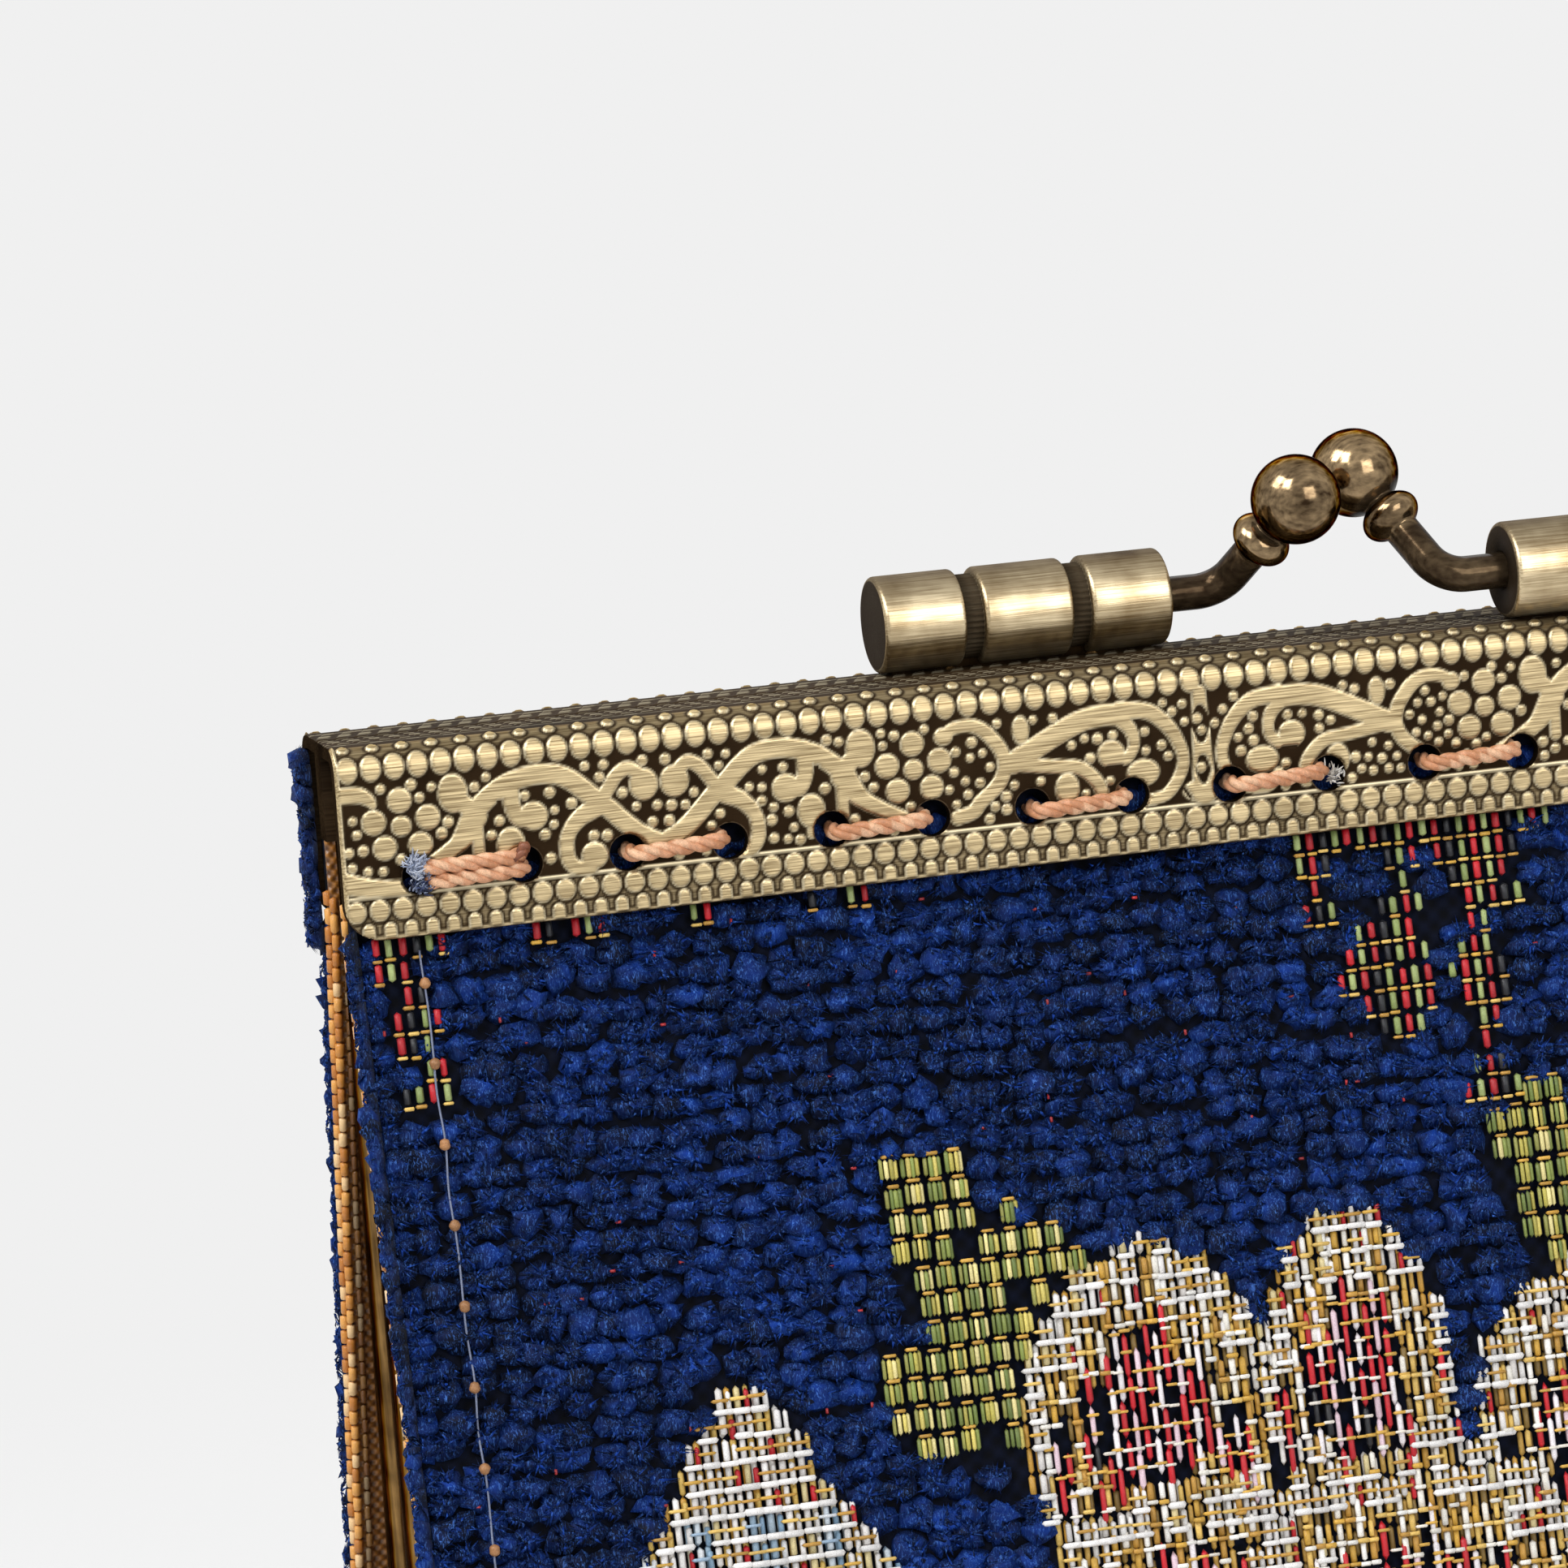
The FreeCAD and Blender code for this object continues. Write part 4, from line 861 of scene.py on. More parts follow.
def on_base(x, t, out, side=FRONT):
    """The U, from the front panel's foot down, round, across the floor and up to the back panel's foot."""
    first = np.clip(t, None, BASE_SIDE)
    turn_in = np.clip(t - BASE_SIDE, 0, BASE_ARC) / BASE_RADIUS
    floor = np.clip(t - BASE_SIDE - BASE_ARC, 0, BASE_FLOOR)
    turn_up = np.clip(t - BASE_SIDE - BASE_ARC - BASE_FLOOR, 0, BASE_ARC) / BASE_RADIUS
    last = np.clip(t - BASE_SIDE - 2 * BASE_ARC - BASE_FLOOR, 0, None)
    angle = turn_in + turn_up
    radius = BASE_RADIUS + out
    y = floor - (BASE_FACE - BASE_RADIUS) - radius * np.cos(angle)
    z = BASE_RADIUS - radius * np.sin(angle) + (BASE_SIDE - first) + last
    return np.stack(np.broadcast_arrays(x, y, np.maximum(z, 0.02)), -1)


def lay_uv(thing, x, t):
    """Keeps the flat cut's own millimetres as a UV map, so that a weave follows the cloth."""
    layer = thing.data.uv_layers.new(name="cut")
    corner = np.empty(len(thing.data.loops), np.int32)
    thing.data.loops.foreach_get("vertex_index", corner)
    flat = np.stack([np.tile(x.ravel(), 2), np.tile(t.ravel(), 2)], 1)
    layer.data.foreach_set("uv", flat[corner].astype(np.float32).ravel())


def cloth_sheet(name, surface, side, xs, ts, outer, inner, finish, slot, stands_for, body):
    """A sheet with real thickness between two depths, turned so that its outer face points out."""
    x, t = np.meshgrid(xs, ts)
    top = surface(x, t, outer(x, t), side)
    bottom = surface(x, t, inner(x, t), side)
    if side == FRONT:
        top, bottom, x, t = top[::-1], bottom[::-1], x[::-1], t[::-1]
    thing = make_piece(name, *shell(top, bottom), finish, body, slot, stands_for)
    lay_uv(thing, x, t)
    return thing


# %% [markdown]
# ## The flowers
# The cloth's own woven picture is a loose spray of blooms and leaves. Here it is a plain layout
# made of ellipses: each place on the cut is asked which shape it lies in, and the answer picks
# the yarns. Leaves are short olive and gold floats, petals are a white and gold lattice, and
# their throats have longer red and pink floats. Where no shape lies, chenille tufts stand.

# %% Which yarns lie where
LEAF, WHITE, IVORY, THROAT, SKY, SPRIG = 1, 2, 3, 4, 5, 6


def oval(x, t, middle_x, middle_t, wide, high, turn=0.0):
    """Distance from an oval's middle in radii, after turning it by so many degrees; below 1 is inside."""
    a = math.radians(turn)
    u = (x - middle_x) * math.cos(a) + (t - middle_t) * math.sin(a)
    v = -(x - middle_x) * math.sin(a) + (t - middle_t) * math.cos(a)
    return np.hypot(u / wide, v / high)


PETALS = [(-15.5, 27.5, 6.6, 8.6, 8), (-4.6, 27.0, 4.9, 8.4, 0), (8.5, 31.0, 7.5, 8.4, -14),
          (-14, 38.5, 8.4, 8.0, 30), (13, 41.0, 8.2, 8.0, -30), (-3.0, 40.0, 10.0, 9.5, 0),
          (4.0, 47.5, 12.0, 6.5, 0)]
LEAVES = [(-25.3, 16.5, 2.8, 3.4, 0), (-22.0, 20.8, 5.2, 4.0, 20), (-24.5, 25.5, 4.6, 3.3, 18),
          (7.0, 18.2, 3.4, 4.4, -10), (8.5, 23.0, 2.6, 3.0, 0), (33.0, 14.0, 3.4, 6.0, 35),
          (38.0, 21.0, 3.2, 5.4, -25), (24.0, 46.0, 4.0, 3.0, 0)]
BUDS = [(30.5, 33.0, 5.0, 6.6, 10), (37.5, 36.5, 4.6, 6.2, -16), (34.0, 42.0, 5.6, 5.0, 0)]


def yarn_zone(x, t):
    """0 for chenille, or the number of the yarns that show at each place of a panel's cut."""
    zone = np.zeros(np.broadcast(x, t).shape, int)
    zone[(t < 1.1) & (np.sin(2.3 * x) + np.sin(0.9 * x + 1) > 0.55) & (x < -24)] = SPRIG
    sprig = (np.abs(x + 50.0 - 0.08 * t) < 1.3) & (t < 8.5) & (np.sin(1.7 * t + x) > -0.75)
    sprig |= (np.abs(x - 4.5) < 1.0 + 0.5 * np.sin(t)) & (t < 14)
    sprig |= (t < 5.0) & (np.abs(x - 2.5) < 7.0) & (np.sin(1.3 * x) + np.cos(1.1 * t) > -0.2)
    sprig |= (np.abs(x) + np.abs(t - 7.4) * 0.8 < 3.3) & (x < 2.4)
    sprig |= (t < 4.0) & (np.abs(x - 33) < 6.0) & (np.sin(1.1 * x) + np.cos(1.4 * t) > 0.2)
    zone[sprig] = SPRIG
    for leaf in LEAVES:
        zone[oval(x, t, *leaf) < 1] = LEAF
    cone = (np.abs(x + 36.0) < 0.9 + 0.62 * (t - 23.4)) & (t > 23.4) & (t < 34)
    cone |= (oval(x, t, -36.0, 38.0, 8.4, 7.4) < 1)
    zone[cone] = np.where((t[cone] > 29.5) & (np.sin(1.9 * x[cone]) > 0.1), SKY, WHITE)
    for number, petal in enumerate(PETALS):
        inside = oval(x, t, *petal)
        wave = 0.1 * np.sin(3.1 * x + number) + 0.08 * np.cos(2.3 * t)
        colour = np.where(inside + wave > 0.78, WHITE, np.where(inside + wave > 0.5, IVORY, THROAT))
        colour = np.where((t > petal[1]) & (inside < 0.9) & (np.sin(2.1 * x + number) > 0.2), THROAT, colour)
        zone[inside < 1] = colour[inside < 1]
    for number, bud in enumerate(BUDS):
        inside = oval(x, t, *bud)
        colour = np.where(inside > 0.72, WHITE, np.where(inside > 0.42, SKY, THROAT))
        zone[inside < 1] = colour[inside < 1]
    return zone


def base_zone(x, t):
    """The base is plain chenille with two leaves near its middle."""
    zone = np.zeros(np.broadcast(x, t).shape, int)
    zone[oval(x, t, -22.0, 22.0, 6.0, 3.4, 20) < 1] = LEAF
    zone[oval(x, t, 20.0, 34.0, 6.4, 3.4, -18) < 1] = LEAF
    return zone


check_x, check_t = np.meshgrid(np.linspace(-52, 52, 200), np.linspace(0, 51, 100))
print("woven share of a panel", round(float((yarn_zone(check_x, check_t) > 0).mean()), 2))

# %% [markdown]
# ## Chenille tufts
# Chenille yarn is a core with short pile standing round it, and the loom presses it flat into
# rows 1.27 mm apart, so that each yarn shows as a row of small rough lumps. Hair would be
# heavy for so small a pile, so each lump is a low dome of 42 faces whose points are pushed about
# at random, under some twenty thin spikes for the combed pile. The rows are jittered so that no
# two lumps are alike.

# %% Tufts and loose fibres
TUFT_ROW = 1.27
SPECK_ROW = 1.15


def dome():
    """A dome of unit size: a top, and rings of 6, 10 and 10 points at growing radius and falling height."""
    rings = [(1, 0.0, 1.0), (6, 0.52, 0.9), (10, 0.92, 0.5), (10, 1.0, 0.0)]
    points, level, starts = [], [], []
    for count, radius, height in rings:
        angle = np.arange(count) * 2 * math.pi / count + (0.3 if count == 6 else 0)
        starts.append(sum(len(p) for p in points))
        points.append(np.stack([radius * np.cos(angle), radius * np.sin(angle), np.full(count, height)], 1))
        level.append(np.full(count, height))
    faces = [(0, 1 + i, 1 + (i + 1) % 6) for i in range(6)]
    inner, outer = 0, 0
    for _ in range(16):
        if inner / 6 <= outer / 10:
            faces.append((1 + inner % 6, 7 + outer % 10, 1 + (inner + 1) % 6))
            inner += 1
        else:
            faces.append((1 + inner % 6, 7 + outer % 10, 7 + (outer + 1) % 10))
            outer += 1
    for i in range(10):
        after = (i + 1) % 10
        faces.append((7 + i, 17 + i, 17 + after))
        faces.append((7 + i, 17 + after, 7 + after))
    return np.concatenate(points), np.array(faces), np.concatenate(level)


def tuft_places(width, length, zone, rng, start=0.6, pitch=1.55):
    """Jittered places in rows, where the cloth shows chenille."""
    rows = np.arange(start, length, TUFT_ROW)
    columns = np.arange(-width + 0.5, width - 0.3, pitch)
    x, t = np.meshgrid(columns, rows)
    x = x + rng.uniform(-0.5, 0.5, (len(rows), 1)) + rng.uniform(-0.34, 0.34, x.shape)
    t = t + rng.uniform(-0.22, 0.22, x.shape) + 0.22 * np.sin(0.33 * x + 2.1 * rng.random((len(rows), 1)))
    x = np.clip(x, -width + 0.45, width - 0.45)
    keep = zone(x, t) == 0
    row = np.broadcast_to(np.arange(len(rows))[:, None], x.shape)
    return x[keep], t[keep], row[keep]


def lay_tufts(name, surface, side, places, width, body, seed, top=0.12):
    """Stamps a dome at each place; sizes, heights and every point are jittered, then laid on the cloth."""
    rng = np.random.default_rng(seed)
    x, t, row = places
    shape, faces, level = dome()
    count = len(x)
    flat = rng.uniform(0.75, 1.0, row.max() + 1)[row]
    wide = rng.uniform(0.78, 1.14, count)
    high = rng.uniform(0.62, 0.95, count) * flat
    rise = rng.uniform(0.36, 0.74, count) * flat + top
    jitter = rng.normal(0, 0.15, (count, len(shape), 2))
    a = x[:, None] + shape[None, :, 0] * wide[:, None] + jitter[..., 0]
    b = t[:, None] + shape[None, :, 1] * high[:, None] + jitter[..., 1]
    lumps = 1 + rng.normal(0, 0.2, (count, len(shape)))
    out = -0.62 + shape[None, :, 2] * rise[:, None] * lumps
    a = np.clip(a, -width - 0.2, width + 0.2)
    points = surface(a, b, out, side)
    order = faces if side == BACK else faces[:, ::-1]
    slow = np.sin(0.21 * x + 1.3 * np.sin(0.13 * t + seed)) * np.cos(0.17 * t + 0.4)
    tone = np.clip(rng.normal(0.3, 0.2, count) + 0.16 * slow, 0, 1)
    tone = np.clip(tone[:, None] + rng.normal(0, 0.2, (count, len(shape))), 0, 1)
    # Painted shade: each point's rise is its height in the dome, jittered, so the foot of a tuft is dark and
    # its crown light.
    level = np.clip(level[None] * 0.8 + rng.normal(0, 0.14, (count, len(level))), 0, 1)
    return make_piece(name, points, [repeat_faces(order, count, len(shape))], PILE, body, "chenille",
                      values={"rise": level, "tone": tone})


def lay_fibres(name, surface, side, places, width, body, seed, each=20, lift=0.0):
    """Combed pile: thin three-sided spikes that fan out from each tuft's crown, lie along the dome as
    height = crown x sqrt(1 - radius squared), and end a little past its rim."""
    rng = np.random.default_rng(seed + 100)
    x, t, row = places
    count = len(x) * each
    middle_x, middle_t = np.repeat(x, each), np.repeat(t, each)
    size_x = np.repeat(rng.uniform(0.8, 1.0, len(x)), each)
    size_t = np.repeat(rng.uniform(0.58, 0.74, len(x)), each)
    heading = rng.choice([-0.5, 0.5], count) * math.pi + rng.normal(0, 0.75, count)
    near, far = rng.uniform(0.0, 0.8, count), rng.uniform(0.8, 1.4, count)
    turn = np.arange(3) * 2 * math.pi / 3
    width_here = rng.uniform(0.05, 0.1, count)
    foot_a = middle_x + near * size_x * np.cos(heading)
    foot_b = middle_t + near * size_t * np.sin(heading)
    swing = heading + rng.normal(0, 0.3, count)
    tip_a = middle_x + far * size_x * np.cos(swing)
    tip_b = middle_t + far * size_t * np.sin(swing)
    crown = np.repeat(rng.uniform(-0.08, 0.12, len(x)), each) + lift
    foot_h = crown - 0.1 * near ** 2 + rng.uniform(-0.03, 0.05, count)
    tip_h = crown - 0.36 * np.clip(far, 0, 1) ** 2 + rng.uniform(-0.12, 0.32, count)
    a = np.concatenate([foot_a[:, None] + width_here[:, None] * np.cos(turn), tip_a[:, None]], 1)
    b = np.concatenate([foot_b[:, None] + width_here[:, None] * np.sin(turn), tip_b[:, None]], 1)
    height = np.concatenate([foot_h[:, None] - np.array([0, 0.05, 0.05]), tip_h[:, None]], 1)
    points = surface(np.clip(a, -width - 0.4, width + 0.4), b, height, side)
    faces = np.array([(0, 1, 3), (1, 2, 3), (2, 0, 3), (0, 2, 1)])
    order = faces[:, ::-1] if side == BACK else faces
    bright = rng.random(count) < 0.05
    own = np.where(bright, rng.uniform(1.3, 2.2, count), rng.uniform(0.0, 1.0, count) ** 1.5)
    tone = np.repeat(own[:, None], 4, 1)
    # Painted shade for the fibres: rise at random from 0.55 to 1, a little lower at each tip.
    rise = np.repeat(rng.uniform(0.55, 1.0, count)[:, None], 4, 1) * np.array([1, 1, 1, 0.85])
    return make_piece(name, points, [repeat_faces(order, count, 4)], PILE, body, "chenille",
                      values={"rise": rise, "tone": tone})


# %% [markdown]
# ## Woven yarns
# A yarn that floats over the cloth shows as a short plump stroke that dives at both ends. Each
# stroke is a five-sided capsule of 20 faces, upright for warp floats and level for weft, and
# its colour comes from the palette of the place where it lies.

# %% Yarn strokes
UNDER = {WHITE: ["#DDB95E", "#F0EEEA", "#C99838"], IVORY: ["#CBA24A", "#8A6E30"],
         SKY: ["#9CB8CC", "#E4DCC4", "#7C96AC"]}
FIRST = {WHITE: ["#E9E6E4", "#DAD6D2", "#F2F0EE", "#D9C892"],
         SKY: ["#A9BCCB", "#8FA9BE", "#E4E8EC", "#C8D3DC"]}
SECOND = {WHITE: ["#DDB95E", "#FAF8F6", "#C80A20", "#FAF8F6", "#FAF8F6"],
          SKY: ["#9CC0DC", "#F6F8FA", "#86A8C4"]}
GOLD = ["#D9A93F", "#C4933A", "#EBC468"]
TIED = {WHITE: GOLD, SKY: ["#9FB9D2", "#E9EEF4", "#D9B563"]}


def capsule():
    """A stroke along its first axis: two five-sided rings and a tip past each of them."""
    angle = np.arange(5) * 2 * math.pi / 5
    rings = [np.stack([np.full(5, place), size * np.cos(angle), size * np.sin(angle)], 1)
             for place, size in ((-0.72, 0.8), (0.72, 0.8))]
    points = np.concatenate(rings + [np.array([(-1.0, 0, 0), (1.0, 0, 0)])])
    after = (np.arange(5) + 1) % 5
    here = np.arange(5)
    sides = np.stack([here, after, 5 + after, 5 + here], 1)
    sides = np.concatenate([sides[:, [0, 1, 2]], sides[:, [0, 2, 3]]])
    tips = np.concatenate([np.stack([np.full(5, 10), after, here], 1),
                           np.stack([np.full(5, 11), 5 + here, 5 + after], 1)])
    return points, np.concatenate([sides, tips])


def strokes(name, surface, side, x, t, out, half, thick, upright, colours, body, finish,
            slot="chenille", dive=0.12):
    """Stamps capsules on the cloth: half is half the length, thick the radius, and both ends dive a
    little."""
    shape, faces = capsule()
    count = len(x)
    lengthwise = shape[None, :, 0] * half[:, None]
    sideways = shape[None, :, 1] * thick[:, None]
    a = x[:, None] + np.where(upright[:, None], sideways, lengthwise)
    b = t[:, None] + np.where(upright[:, None], lengthwise, sideways)
    up = out[:, None] + shape[None, :, 2] * thick[:, None] * 0.9 - dive * np.abs(shape[None, :, 0]) ** 3
    points = surface(a, b, up, side)
    flip = upright if side == FRONT else ~upright
    order = np.where(flip[:, None, None], faces[None], faces[None, :, ::-1])
    order = (order + (np.arange(count) * len(shape))[:, None, None]).reshape(-1, 3)
    return make_piece(name, points, [order], finish, body, slot, colours=np.repeat(colours, len(shape), 0))


def pick_colours(zone, palettes, rng):
    """One colour from its palette for each stroke, made a little lighter or darker."""
    colours = np.zeros((len(zone), 3))
    for key, names in palettes.items():
        chosen = zone == key
        table = np.array([linear(name) for name in names])
        colours[chosen] = table[rng.integers(0, len(names), chosen.sum())]
    return colours * rng.uniform(0.8, 1.12, (len(zone), 1))


def pick_from(names, count, rng):
    """The same from one palette for all strokes."""
    return pick_colours(np.ones(count), {1: names}, rng)


def pick_in_turn(names, number, rng):
    """Colours in a fixed order, by the number of a column or row."""
    return np.array([linear(name) for name in names])[number] * rng.uniform(0.85, 1.12, (len(number), 1))


def yarn_grid(width, length, pitch_x, pitch_t, zone_at, wanted):
    """Places on a loom grid where the wanted yarns show, with the number of each place's column and row."""
    columns = np.arange(-width + 0.4, width - 0.3, pitch_x)
    rows = np.arange(0.5, length - 0.3, pitch_t)
    x, t = np.meshgrid(columns, rows)
    zone = zone_at(x, t)
    keep = np.isin(zone, wanted)
    number = np.broadcast_to(np.arange(len(columns)), x.shape)
    row = np.broadcast_to(np.arange(len(rows))[:, None], x.shape)
    return x[keep], t[keep], zone[keep], number[keep], row[keep]


def lay_yarns(name, surface, side, width, length, zone_at, body, seed):
    """Leaves: bundles of four upright floats, tied by short gold wefts. Petals: white and gold uprights over
    a gold underlayer, with a thick and a thin weft in turn. Throats: long floats by column, with thin
    wefts."""
    rng = np.random.default_rng(seed)
    blocks = []

    def grid(pitch_x, pitch_t, *wanted):
        return yarn_grid(width, length, pitch_x, pitch_t, zone_at, wanted)

    def add(x, t, out, half, thick, upright, colours, wobble=0.04):
        count = len(x)
        out, half, thick = (np.broadcast_to(np.asarray(v, float), (count,)) for v in (out, half, thick))
        x = x + rng.uniform(-wobble, wobble, count)
        t = t + rng.uniform(-wobble, wobble, count)
        blocks.append((x, t, out + rng.uniform(-0.03, 0.03, count), half * rng.uniform(0.92, 1.1, count),
                       thick * rng.uniform(0.85, 1.15, count), np.full(count, upright), colours))

    x, t, zone, column, row = grid(1.12, 1.36, LEAF)
    keep = rng.random(len(x)) > 0.1
    x, t = (x + 0.12 * np.sin(row * 1.7))[keep], t[keep] + rng.uniform(-0.1, 0.1, keep.sum())
    for shift in (-0.36, -0.13, 0.12, 0.35):
        names = ["#B9AE4E", "#DCCB6A", "#8C9A48", "#6B7C36", "#F0E29A"] if shift > -0.3 else ["#76843C",
                "#9A9A4C"]
        add(x + shift, t, 0.04 - 1.1 * shift ** 2, 0.55, 0.155, True, pick_from(names, len(x), rng), 0.03)
    add(x, t - 0.66, 0.0, 0.36, 0.12, False, pick_from(["#E0AE48", "#C99838"], len(x), rng))
    x, t, zone, column, row = grid(0.46, 1.24, WHITE, SKY, IVORY)
    add(x, t, -0.42, 0.64, 0.21, True, pick_colours(zone, UNDER, rng))
    x, t, zone, column, row = grid(0.92, 1.24, WHITE, SKY)
    add(x, t, -0.16, 0.58, 0.22, True, pick_colours(zone, FIRST, rng))
    add(x + 0.46, t + 0.2, -0.26, 0.6, 0.19, True, pick_colours(zone, SECOND, rng))
    some = rng.random(len(x)) > 0.1
    white = pick_from(["#FAF8F6", "#EEECEA"], len(x), rng)
    add(x[some] + 0.1, t[some] + 0.6, 0.04, 0.54, 0.21, False, white[some])
    some = rng.random(len(x)) > 0.15
    add(x[some], t[some] + 0.02, 0.0, 0.52, 0.115, False, pick_colours(zone, TIED, rng)[some])
    x, t, zone, column, row = grid(0.55, 1.1, IVORY)
    white = pick_from(["#FAF8F2", "#F0ECE2"], len(x), rng)
    gold = pick_from(GOLD, len(x), rng)
    even = column % 2 == 0
    add(x, t, np.where(even, -0.16, -0.22), 0.5, 0.22, True, np.where(even[:, None], white, gold))
    even = (row + column // 2) % 2 == 0
    add(x, t + 0.54, 0.0, 0.32, 0.16, False, np.where(even[:, None], white, gold))
    x, t, zone, column, row = grid(0.52, 1.9, THROAT)
    turn = np.where(rng.random(len(x)) < 0.06, 4, (column + row // 2) % 4)
    colours = pick_in_turn(("#C80A20", "#F4EEF2", "#C80A20", "#E8CCD8", "#0A0C14"), turn, rng)
    full = rng.random(len(x)) > 0.06
    half = rng.uniform(0.85, 1.2, full.sum())
    add(x[full], (t + 0.63 * (column % 3))[full], -0.1, half, 0.2, True, colours[full], 0.08)
    for drop in (0.1, 1.05):
        some = rng.random(len(x)) > 0.3
        gold = pick_from(["#E0B04A", "#EFE8DC", "#E0B04A"], len(x), rng)
        add(x[some], t[some] + drop, 0.04, 0.34, 0.11, False, gold[some], 0.08)
    x, t, zone, column, row = grid(0.66, 1.2, SPRIG)
    colours = pick_in_turn(("#8FA05C", "#C80A20", "#A3B370", "#B3081C", "#0C0F18"), (column + row // 3) % 5,
                           rng)
    add(x, t, -0.12, 0.48, 0.24, True, colours)
    some = rng.random(len(x)) > 0.2
    add(x[some], t[some] + 0.6, 0.0, 0.3, 0.12, False, pick_from(GOLD, len(x), rng)[some], 0.05)
    return strokes(name, surface, side, *(np.concatenate(parts) for parts in zip(*blocks)), body, YARN)


def lay_specks(name, surface, side, width, length, zone_at, body, seed, share=0.035):
    """Short red ground threads that peep out of the chenille, at this share of the places."""
    rng = np.random.default_rng(seed)
    columns, rows = np.meshgrid(np.arange(-width + 1, width - 1, 0.57),
                                np.arange(1.12, length - 0.5, SPECK_ROW))
    x, t = columns.ravel(), rows.ravel()
    chosen = (rng.random(len(x)) < share) & (zone_at(x, t) == 0)
    x, t = x[chosen], t[chosen]
    count = len(x)
    colours = np.repeat(linear("#B81E26")[None], count, 0) * rng.uniform(0.5, 1.1, (count, 1))
    return strokes(name, surface, side, x, t, np.full(count, -0.12), np.full(count, 0.16),
                   np.full(count, 0.1),
                   rng.random(count) > 0.5, colours, body, YARN)


# %% [markdown]
# ## Dressing the panels and the base
# Under the pile lies a plain dark ground cloth, cut in one piece for each panel and one for the
# base. Tufts, fibres and yarns lie on it.

# %% Panels
PANEL_TOP = -(76.4 - CHANNEL_FOOT)
CLOTH_SEED = {FRONT: 3, BACK: 8}
EDGE_WIDTH = 5.0
sheets = {}


def hole_places(rng):
    """A few tufts behind each sewing hole, so that blue shows through it."""
    x = (HOLES[:, None, None] + np.array([-0.6, 0.6])[None, :, None] + np.zeros((1, 1, 2))).ravel()
    t = np.broadcast_to(-2.9 + np.array([0.5, 1.3]), (20, 2, 2)).ravel()
    return x + rng.uniform(-0.1, 0.1, len(x)), t + rng.uniform(-0.1, 0.1, len(t)), np.arange(len(x)) % 7


def edge_places(rng):
    """A column of tufts down each side edge, where the pile turns round the cut edge of the cloth."""
    t = np.arange(0.3, PANEL_RUN - 0.2, 0.8)
    t = t + rng.uniform(-0.2, 0.2, len(t))
    depth = rng.uniform(-0.1, 0.1, len(t))
    return depth, t, np.arange(len(t)) % 9


def edge_surface(end, side):
    """A place on a side edge: first across the cloth's thickness, then down it, then out past the edge."""
    def place(across, down, out, _):
        return on_panel(end * (CLOTH_HALF + 0.38 + out), down, -0.28 + across * 0.45, side)
    return place


for side in (FRONT, BACK):
    word, body, seed = SIDE_NAME[side], HALF[side], CLOTH_SEED[side]
    down = np.concatenate([np.linspace(PANEL_TOP, 0, 12)[:-1], np.linspace(0, PANEL_RUN, 60)])
    ground = cloth_sheet(
        f"{word}_cloth_ground", on_panel, side, np.linspace(-CLOTH_HALF, CLOTH_HALF, 90), down,
        lambda x, t: np.where(t < -0.5, -0.42, -0.55), lambda x, t: np.full(x.shape, -0.98),
        GROUND, "chenille", (f"{word}_cloth",), body)
    places = tuft_places(CLOTH_HALF, PANEL_RUN, yarn_zone, np.random.default_rng(seed))
    behind = hole_places(np.random.default_rng(seed + 40))
    on_top = [
        lay_tufts(f"{word}_tufts", on_panel, side, places, CLOTH_HALF, body, seed),
        lay_tufts(f"{word}_tufts_behind_holes", on_panel, side, behind, CLOTH_HALF, body, seed, top=-0.05),
        lay_fibres(f"{word}_fibres", on_panel, side, places, CLOTH_HALF, body, seed),
        lay_yarns(f"{word}_yarns", on_panel, side, CLOTH_HALF, PANEL_RUN, yarn_zone, body, seed + 1),
        lay_specks(f"{word}_specks", on_panel, side, CLOTH_HALF, PANEL_RUN, yarn_zone, body, seed + 2),
    ]
    for end, hand in ((-1, "left"), (1, "right")):
        rim = edge_places(np.random.default_rng(seed + 50 + end))
        turned = BACK if end * side < 0 else FRONT
        rest = (edge_surface(end, side), turned, rim, EDGE_WIDTH, body, seed + 60 + end)
        on_top.append(lay_tufts(f"{word}_edge_tufts_{hand}", *rest))
        on_top.append(lay_fibres(f"{word}_edge_fibres_{hand}", *rest))
    sheets[word] = (ground, on_top)

# %% [markdown]
# The cloth is cut a little longer than its channel, so at the open ends of the back channel a
# short column of pile squeezes out and hides the brass edge.

# %% Pile at the ends of the back channel


def channel_end(end):
    """A place in the open end of the back channel: across it, up it, and out past the end."""
    def place(across, up, out, _):
        x = end * (FRAME_HALF + 0.5 + out)
        return np.stack(np.broadcast_arrays(x, 3.45 + across, up), -1)
    return place


for end, word in ((-1, "left"), (1, "right")):
    rng = np.random.default_rng(90 + end)
    up = np.concatenate([np.arange(68.0, 75.1, 0.7), [76.0, 76.6]])
    rim = (rng.uniform(-0.12, 0.12, len(up)), up + rng.uniform(-0.12, 0.12, len(up)), np.arange(len(up)))
    turned = BACK if end > 0 else FRONT
    rest = (channel_end(end), turned, rim, EDGE_WIDTH, "back_half", 95 + end)
    sheets["back"][1].append(lay_tufts(f"back_end_tufts_{word}", *rest, top=0.1))
    sheets["back"][1].append(lay_fibres(f"back_end_fibres_{word}", *rest, each=30))

